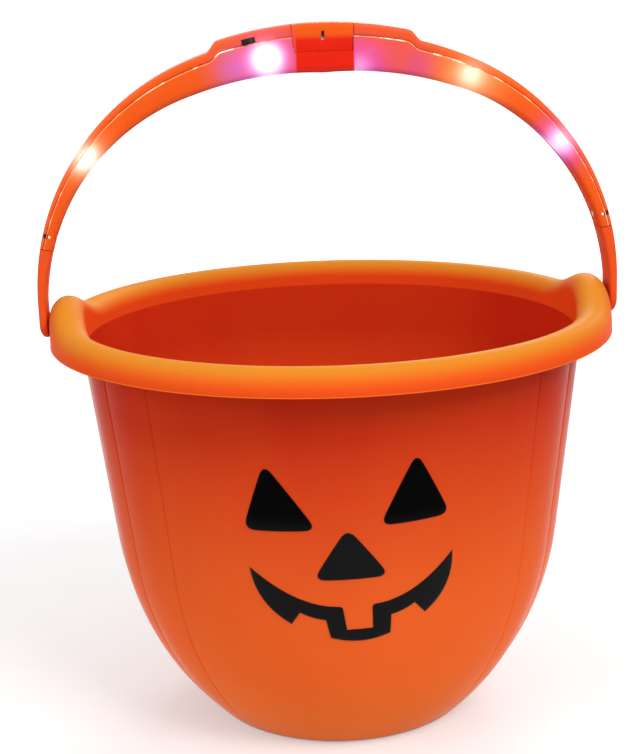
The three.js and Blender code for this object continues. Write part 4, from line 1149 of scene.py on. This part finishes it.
def lit_plastic(name, strength):
    """Translucent orange shell that glows around the lights and shows the red tray inside."""
    look = Look(name, srgb(236, 92, 30), 0.2, specular=0.01)
    look.moulded(grain=0.06)
    base = look.shader.inputs["Base Color"].links[0].from_socket
    look.shade("Alpha", 0.88)
    look.shade("Specular IOR Level", matt_inside_arch(look, 0.01))
    raised_top = PIVOT_HEIGHT + CROWN_HEIGHT + BOX_RAISE
    seam = raised_top - SPLIT_SHARE * (CROWN_THICKNESS + BOX_RAISE)
    below_seam = look.border("Z", seam - 2, seam + 0.8, rising=False)
    after_left = look.border("X", TRAY_LEFT - 0.5, TRAY_LEFT + 0.5)
    before_right = look.border("X", TRAY_RIGHT - 0.3, TRAY_RIGHT + 0.3, rising=False)
    beside = look.product(after_left, before_right)
    tray = look.product(beside, below_seam)
    clear = look.math("SUBTRACT", 1.0, beside)
    glow, veil = glow_of_lights(look)
    # Painted light: the violet lights tint the shell's colour magenta.
    base = look.blend(look.product(veil, clear, strength), base, VEIL)
    # The dark screw spot is partly painted shade, and the bright spot is a painted highlight.
    for depth, reach, color in SCREW_SPOTS_AND_GLINTS:
        base = look.blend(screw_spot_mask(look, depth, reach), base, color)
    look.shade("Base Color", look.blend(tray, base, TRAY_RED))
    look.shade("Emission Color", look.vector("SCALE", glow, scale=clear))
    look.shade("Emission Strength", strength)
    return look.material


def painted_seam_glint():
    """Edge of the shell along the seam, with a painted highlight: glints that glow in short streaks,
    brighter near the crown.
    """
    look = Look("painted_seam_glint", srgb(244, 150, 90), 0.12)
    streaks = look.range(look.noise(150, 3), 0.5, 0.62)
    color = look.ramp(streaks, (0, (0.02, 0.0, 0.0, 1)), (1, (0.9, 0.75, 0.55, 1)))
    crown = PIVOT_HEIGHT + CROWN_HEIGHT
    faint, full = (crown - EDGE_FAINT_DROP) * MM, (crown - EDGE_FULL_DROP) * MM
    near_crown = look.range(look.along("Z"), faint, full, 0.3, 1.0)
    look.shade("Emission Color", look.vector("SCALE", color, scale=near_crown))
    look.shade("Emission Strength", 1.6)
    return look.material


def leg_plastic():
    return Look("leg_plastic", srgb(222, 80, 34), 0.5, specular=0.01).moulded()


def tray_plastic():
    return Look("tray_plastic", srgb(228, 36, 26), 0.45).moulded()


def black_plastic():
    return Look("black_plastic", srgb(16, 15, 22), 0.42, specular=0.2).moulded(grain=0.15)


def wire_cover():
    return Look("wire_cover", srgb(196, 40, 40), 0.5).moulded()


def board_laminate():
    return Look("board", srgb(34, 100, 60), 0.4).moulded(grain=0.12)


def bright_metal(name, color, roughness):
    """Plated metal with fine scratches along one direction."""
    look = Look(name, color, roughness)
    look.shade("Metallic", 1)
    least, most = roughness * 0.8, roughness * 1.4
    look.shade("Roughness", look.range(look.noise(500, 2, (8, 1, 1)), 0.3, 0.7, least, most))
    tones = ((0.35, scaled(color, 0.85)), (0.65, color))
    look.shade("Base Color", look.ramp(look.noise(120, 2), *tones))
    return look.material


def lens(name, tint, strength):
    """Clear lens of a light, bright where it is lit."""
    look = Look(name, (0.9, 0.9, 0.95, 1), 0.08)
    color = look.ramp(look.noise(600, 2), (0.3, (1, 1, 1, 1)), (0.7, (*tint, 1)))
    look.shade("Emission Color", color)
    look.shade("Emission Strength", 2.5 * strength)
    return look.material


def seen_rays(tree):
    """1 for rays that show the background: straight, reflected or through glass."""
    ray = tree.nodes.new("ShaderNodeLightPath")
    total = ray.outputs["Is Camera Ray"]
    for kind in ("Is Glossy Ray", "Is Transmission Ray"):
        either = tree.nodes.new("ShaderNodeMath")
        either.operation = "MAXIMUM"
        tree.links.new(total, either.inputs[0])
        tree.links.new(ray.outputs[kind], either.inputs[1])
        total = either.outputs[0]
    return total


def floor_material():
    """Pale matt floor, white to the camera but for the object's shadow, and clear from below."""
    look = Look("pale_floor", (0.58, 0.58, 0.58, 1), 0.9, specular=0.04)
    grain = look.range(look.noise(30, 4), 0.3, 0.7, 0.575, 0.585)
    grey = look.node("CombineColor", Red=grain, Green=grain, Blue=grain)
    look.shade("Base Color", grey.outputs[0])
    wanted = look.range(look.vector("LENGTH", look.place()), 0.3, 1.6, 0.36, 0.8)
    strength = look.product(seen_rays(look.tree), wanted)
    lift = look.node("Emission", Color=(1, 1, 1, 1), Strength=strength)
    lit = look.node("AddShader", look.shader.outputs[0], lift.outputs[0])
    clear = look.node("BsdfTransparent")
    under = look.node("NewGeometry").outputs["Backfacing"]
    mix = look.node("MixShader", under, lit.outputs[0], clear.outputs[0])
    look.feed(look.tree.nodes["Material Output"].inputs["Surface"], mix.outputs[0])
    return look.material


# Stage

# Camera fitted to the photograph: pitch, roll and yaw in radians, where the middle of the rim's
# lower edge lies in the camera's axes, and the picture's height and focal length in pixels
PITCH, ROLL, YAW = 0.2426, 0.0333, 0.0595
RIM_IN_VIEW = Vector((4.2171, 19.1578, 657.0487))
PICTURE_HEIGHT = 754
FOCAL_PIXELS = 1657.5
SENSOR_WIDTH = 36
FLOOR_HALF_SIZE = 30000
# Lamps: place and size in metres, and power in watts
LAMP_TARGET = (0, 0, 0.12)
LAMPS = {
    "key": ((0.9, -1.3, 1.5), (0.9, 0.9), 28),
    "fill": ((-1.3, -0.9, 0.9), (0.8, 1.2), 10),
    "top": ((0, 0.1, 1.6), (1.2, 1.2), 3),
    "rear": ((0.5, 1.4, 0.9), (0.9, 0.9), 12),
}


def make_camera():
    steep, level = sin(PITCH), cos(PITCH)
    pitch = Matrix(((1, 0, 0), (0, steep, level), (0, level, -steep)))
    to_view = Matrix.Rotation(ROLL, 3, "Z") @ pitch @ Matrix.Rotation(YAW, 3, "Z")
    place = (-(to_view.transposed() @ RIM_IN_VIEW) + Vector((0, 0, RIM_EDGE_HEIGHT))) * MM
    right, up, forward = (Vector(row) for row in to_view)
    data = bpy.data.cameras.new("camera")
    data.sensor_width = SENSOR_WIDTH
    data.lens = FOCAL_PIXELS * SENSOR_WIDTH / PICTURE_HEIGHT
    data.clip_start = 0.05
    data.clip_end = 100
    camera = add_object("camera", data)
    turn = Matrix((right, up, -forward)).transposed()
    camera.matrix_world = Matrix.Translation(place) @ turn.to_4x4()
    bpy.context.scene.camera = camera


def make_lamp(name, place, size, power):
    data = bpy.data.lights.new(name, "AREA")
    data.shape = "RECTANGLE"
    data.size, data.size_y = size
    data.energy = power
    lamp = add_object(name, data)
    lamp.location = place
    lamp.rotation_mode = "QUATERNION"
    lamp.rotation_quaternion = (Vector(LAMP_TARGET) - Vector(place)).to_track_quat("-Z", "Y")


def make_world():
    world = bpy.data.worlds.new("studio")
    bpy.context.scene.world = world
    world.use_nodes = True
    nodes, links = world.node_tree.nodes, world.node_tree.links
    background = nodes["Background"]
    soft = nodes.new("ShaderNodeMix")
    soft.data_type = "RGBA"
    soft.inputs[6].default_value = (0.55, 0.55, 0.55, 1)
    soft.inputs[7].default_value = (1, 1, 1, 1)
    links.new(seen_rays(world.node_tree), soft.inputs["Factor"])
    links.new(soft.outputs[2], background.inputs["Color"])
    background.inputs["Strength"].default_value = 1


def make_stage():
    size = FLOOR_HALF_SIZE
    corners = [(-size, -size, 0), (size, -size, 0), (size, size, 0), (-size, size, 0)]
    floor = make_piece("floor", corners, [(0, 1, 2, 3)])
    if floor.data.polygons[0].normal.z < 0:
        floor.data.flip_normals()
    floor.data.materials.append(floor_material())
    make_world()
    for name, (place, size, power) in LAMPS.items():
        make_lamp(name, place, size, power)


# Assembly

def show(piece, body, slot, material, *nodes):
    """Gives a piece its material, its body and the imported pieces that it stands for."""
    piece.data.materials.clear()
    piece.data.materials.append(material)
    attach(piece, body)
    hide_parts(*nodes)


def finish_node(node, material):
    """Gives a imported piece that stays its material."""
    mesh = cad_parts[node].data
    mesh.materials.clear()
    mesh.materials.append(material)
    smooth(mesh)


bpy.context.scene.view_settings.view_transform = "Standard"
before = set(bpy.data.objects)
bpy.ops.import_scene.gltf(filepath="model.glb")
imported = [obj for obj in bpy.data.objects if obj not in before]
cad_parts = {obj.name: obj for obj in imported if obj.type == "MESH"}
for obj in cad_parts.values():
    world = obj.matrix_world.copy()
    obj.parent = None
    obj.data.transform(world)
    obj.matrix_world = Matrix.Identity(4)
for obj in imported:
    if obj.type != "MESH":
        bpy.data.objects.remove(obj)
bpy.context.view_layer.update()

make_camera()
make_stage()

show(make_pail(), "pail_body", "pail_plastic", pail_plastic(), "pail")
ink = face_ink()
for name, node, outline in (
    ("eye_print_left", "left_eye", rounded_outline([(-x, z) for x, z in EYE_CORNERS])),
    ("eye_print_right", "right_eye", rounded_outline(EYE_CORNERS)),
    ("nose_print", "nose", rounded_outline(NOSE_CORNERS)),
    ("mouth_print", "mouth", mouth_outline()),
):
    show(make_patch(name, outline), "pail_body", "face_ink", ink, node)

leg = leg_plastic()
steel = bright_metal("screw_steel", srgb(150, 150, 152), 0.3)
for side_name, side in (("left", -1), ("right", 1)):
    strap = make_strap(f"strap_{side_name}", side)
    show(strap, "handle", "leg_plastic", leg, f"{side_name}_leg")
    pin = make_pin(f"rivet_{side_name}", side)
    show(pin, "pail_body", "leg_plastic", leg, f"{side_name}_pivot_pin")
    finish_node(f"leg_screw_{side_name}", steel)

channel = make_shell("handle_channel", channel_section, screw_recess(-1), screw_recess(1))
show(channel, "handle", "lit_plastic", lit_plastic("lit_channel", 1), "handle_inner_shell")
mark_seam_edge(channel)
lit_cover = lit_plastic("lit_cover", 0.4)
outer_shell = make_shell("handle_cover", cover_section)
show(outer_shell, "handle", "lit_plastic", lit_cover, "handle_outer_shell")
show(make_door(), "door", "lit_plastic", lit_cover, "battery_door")
show(make_door_screw(), "door", "screw_steel", steel, "door_screw")

finish_node("battery_tray", tray_plastic())
nickel = bright_metal("cell_nickel", srgb(202, 202, 198), 0.25)
for node in ("cell_1", "cell_2", "cell_3", "cell_contact_minus", "cell_contact_plus"):
    finish_node(node, nickel)
finish_node("circuit_board", board_laminate())
black = black_plastic()
finish_node("controller_chip", black)
show(softened_copy("switch_slider", "switch_knob", 0.25), "slider", "black_plastic", black, "switch_slider")
finish_node("switch_body", bright_metal("switch_steel", srgb(92, 86, 84), 0.4))
cover = wire_cover()
for node in ("wire_loom_left", "wire_loom_right", "lead_minus", "lead_plus"):
    finish_node(node, cover)
for node, (_, _, tint, core, _, _) in GLOWS.items():
    finish_node(node, lens(node + "_lens", tint, core))
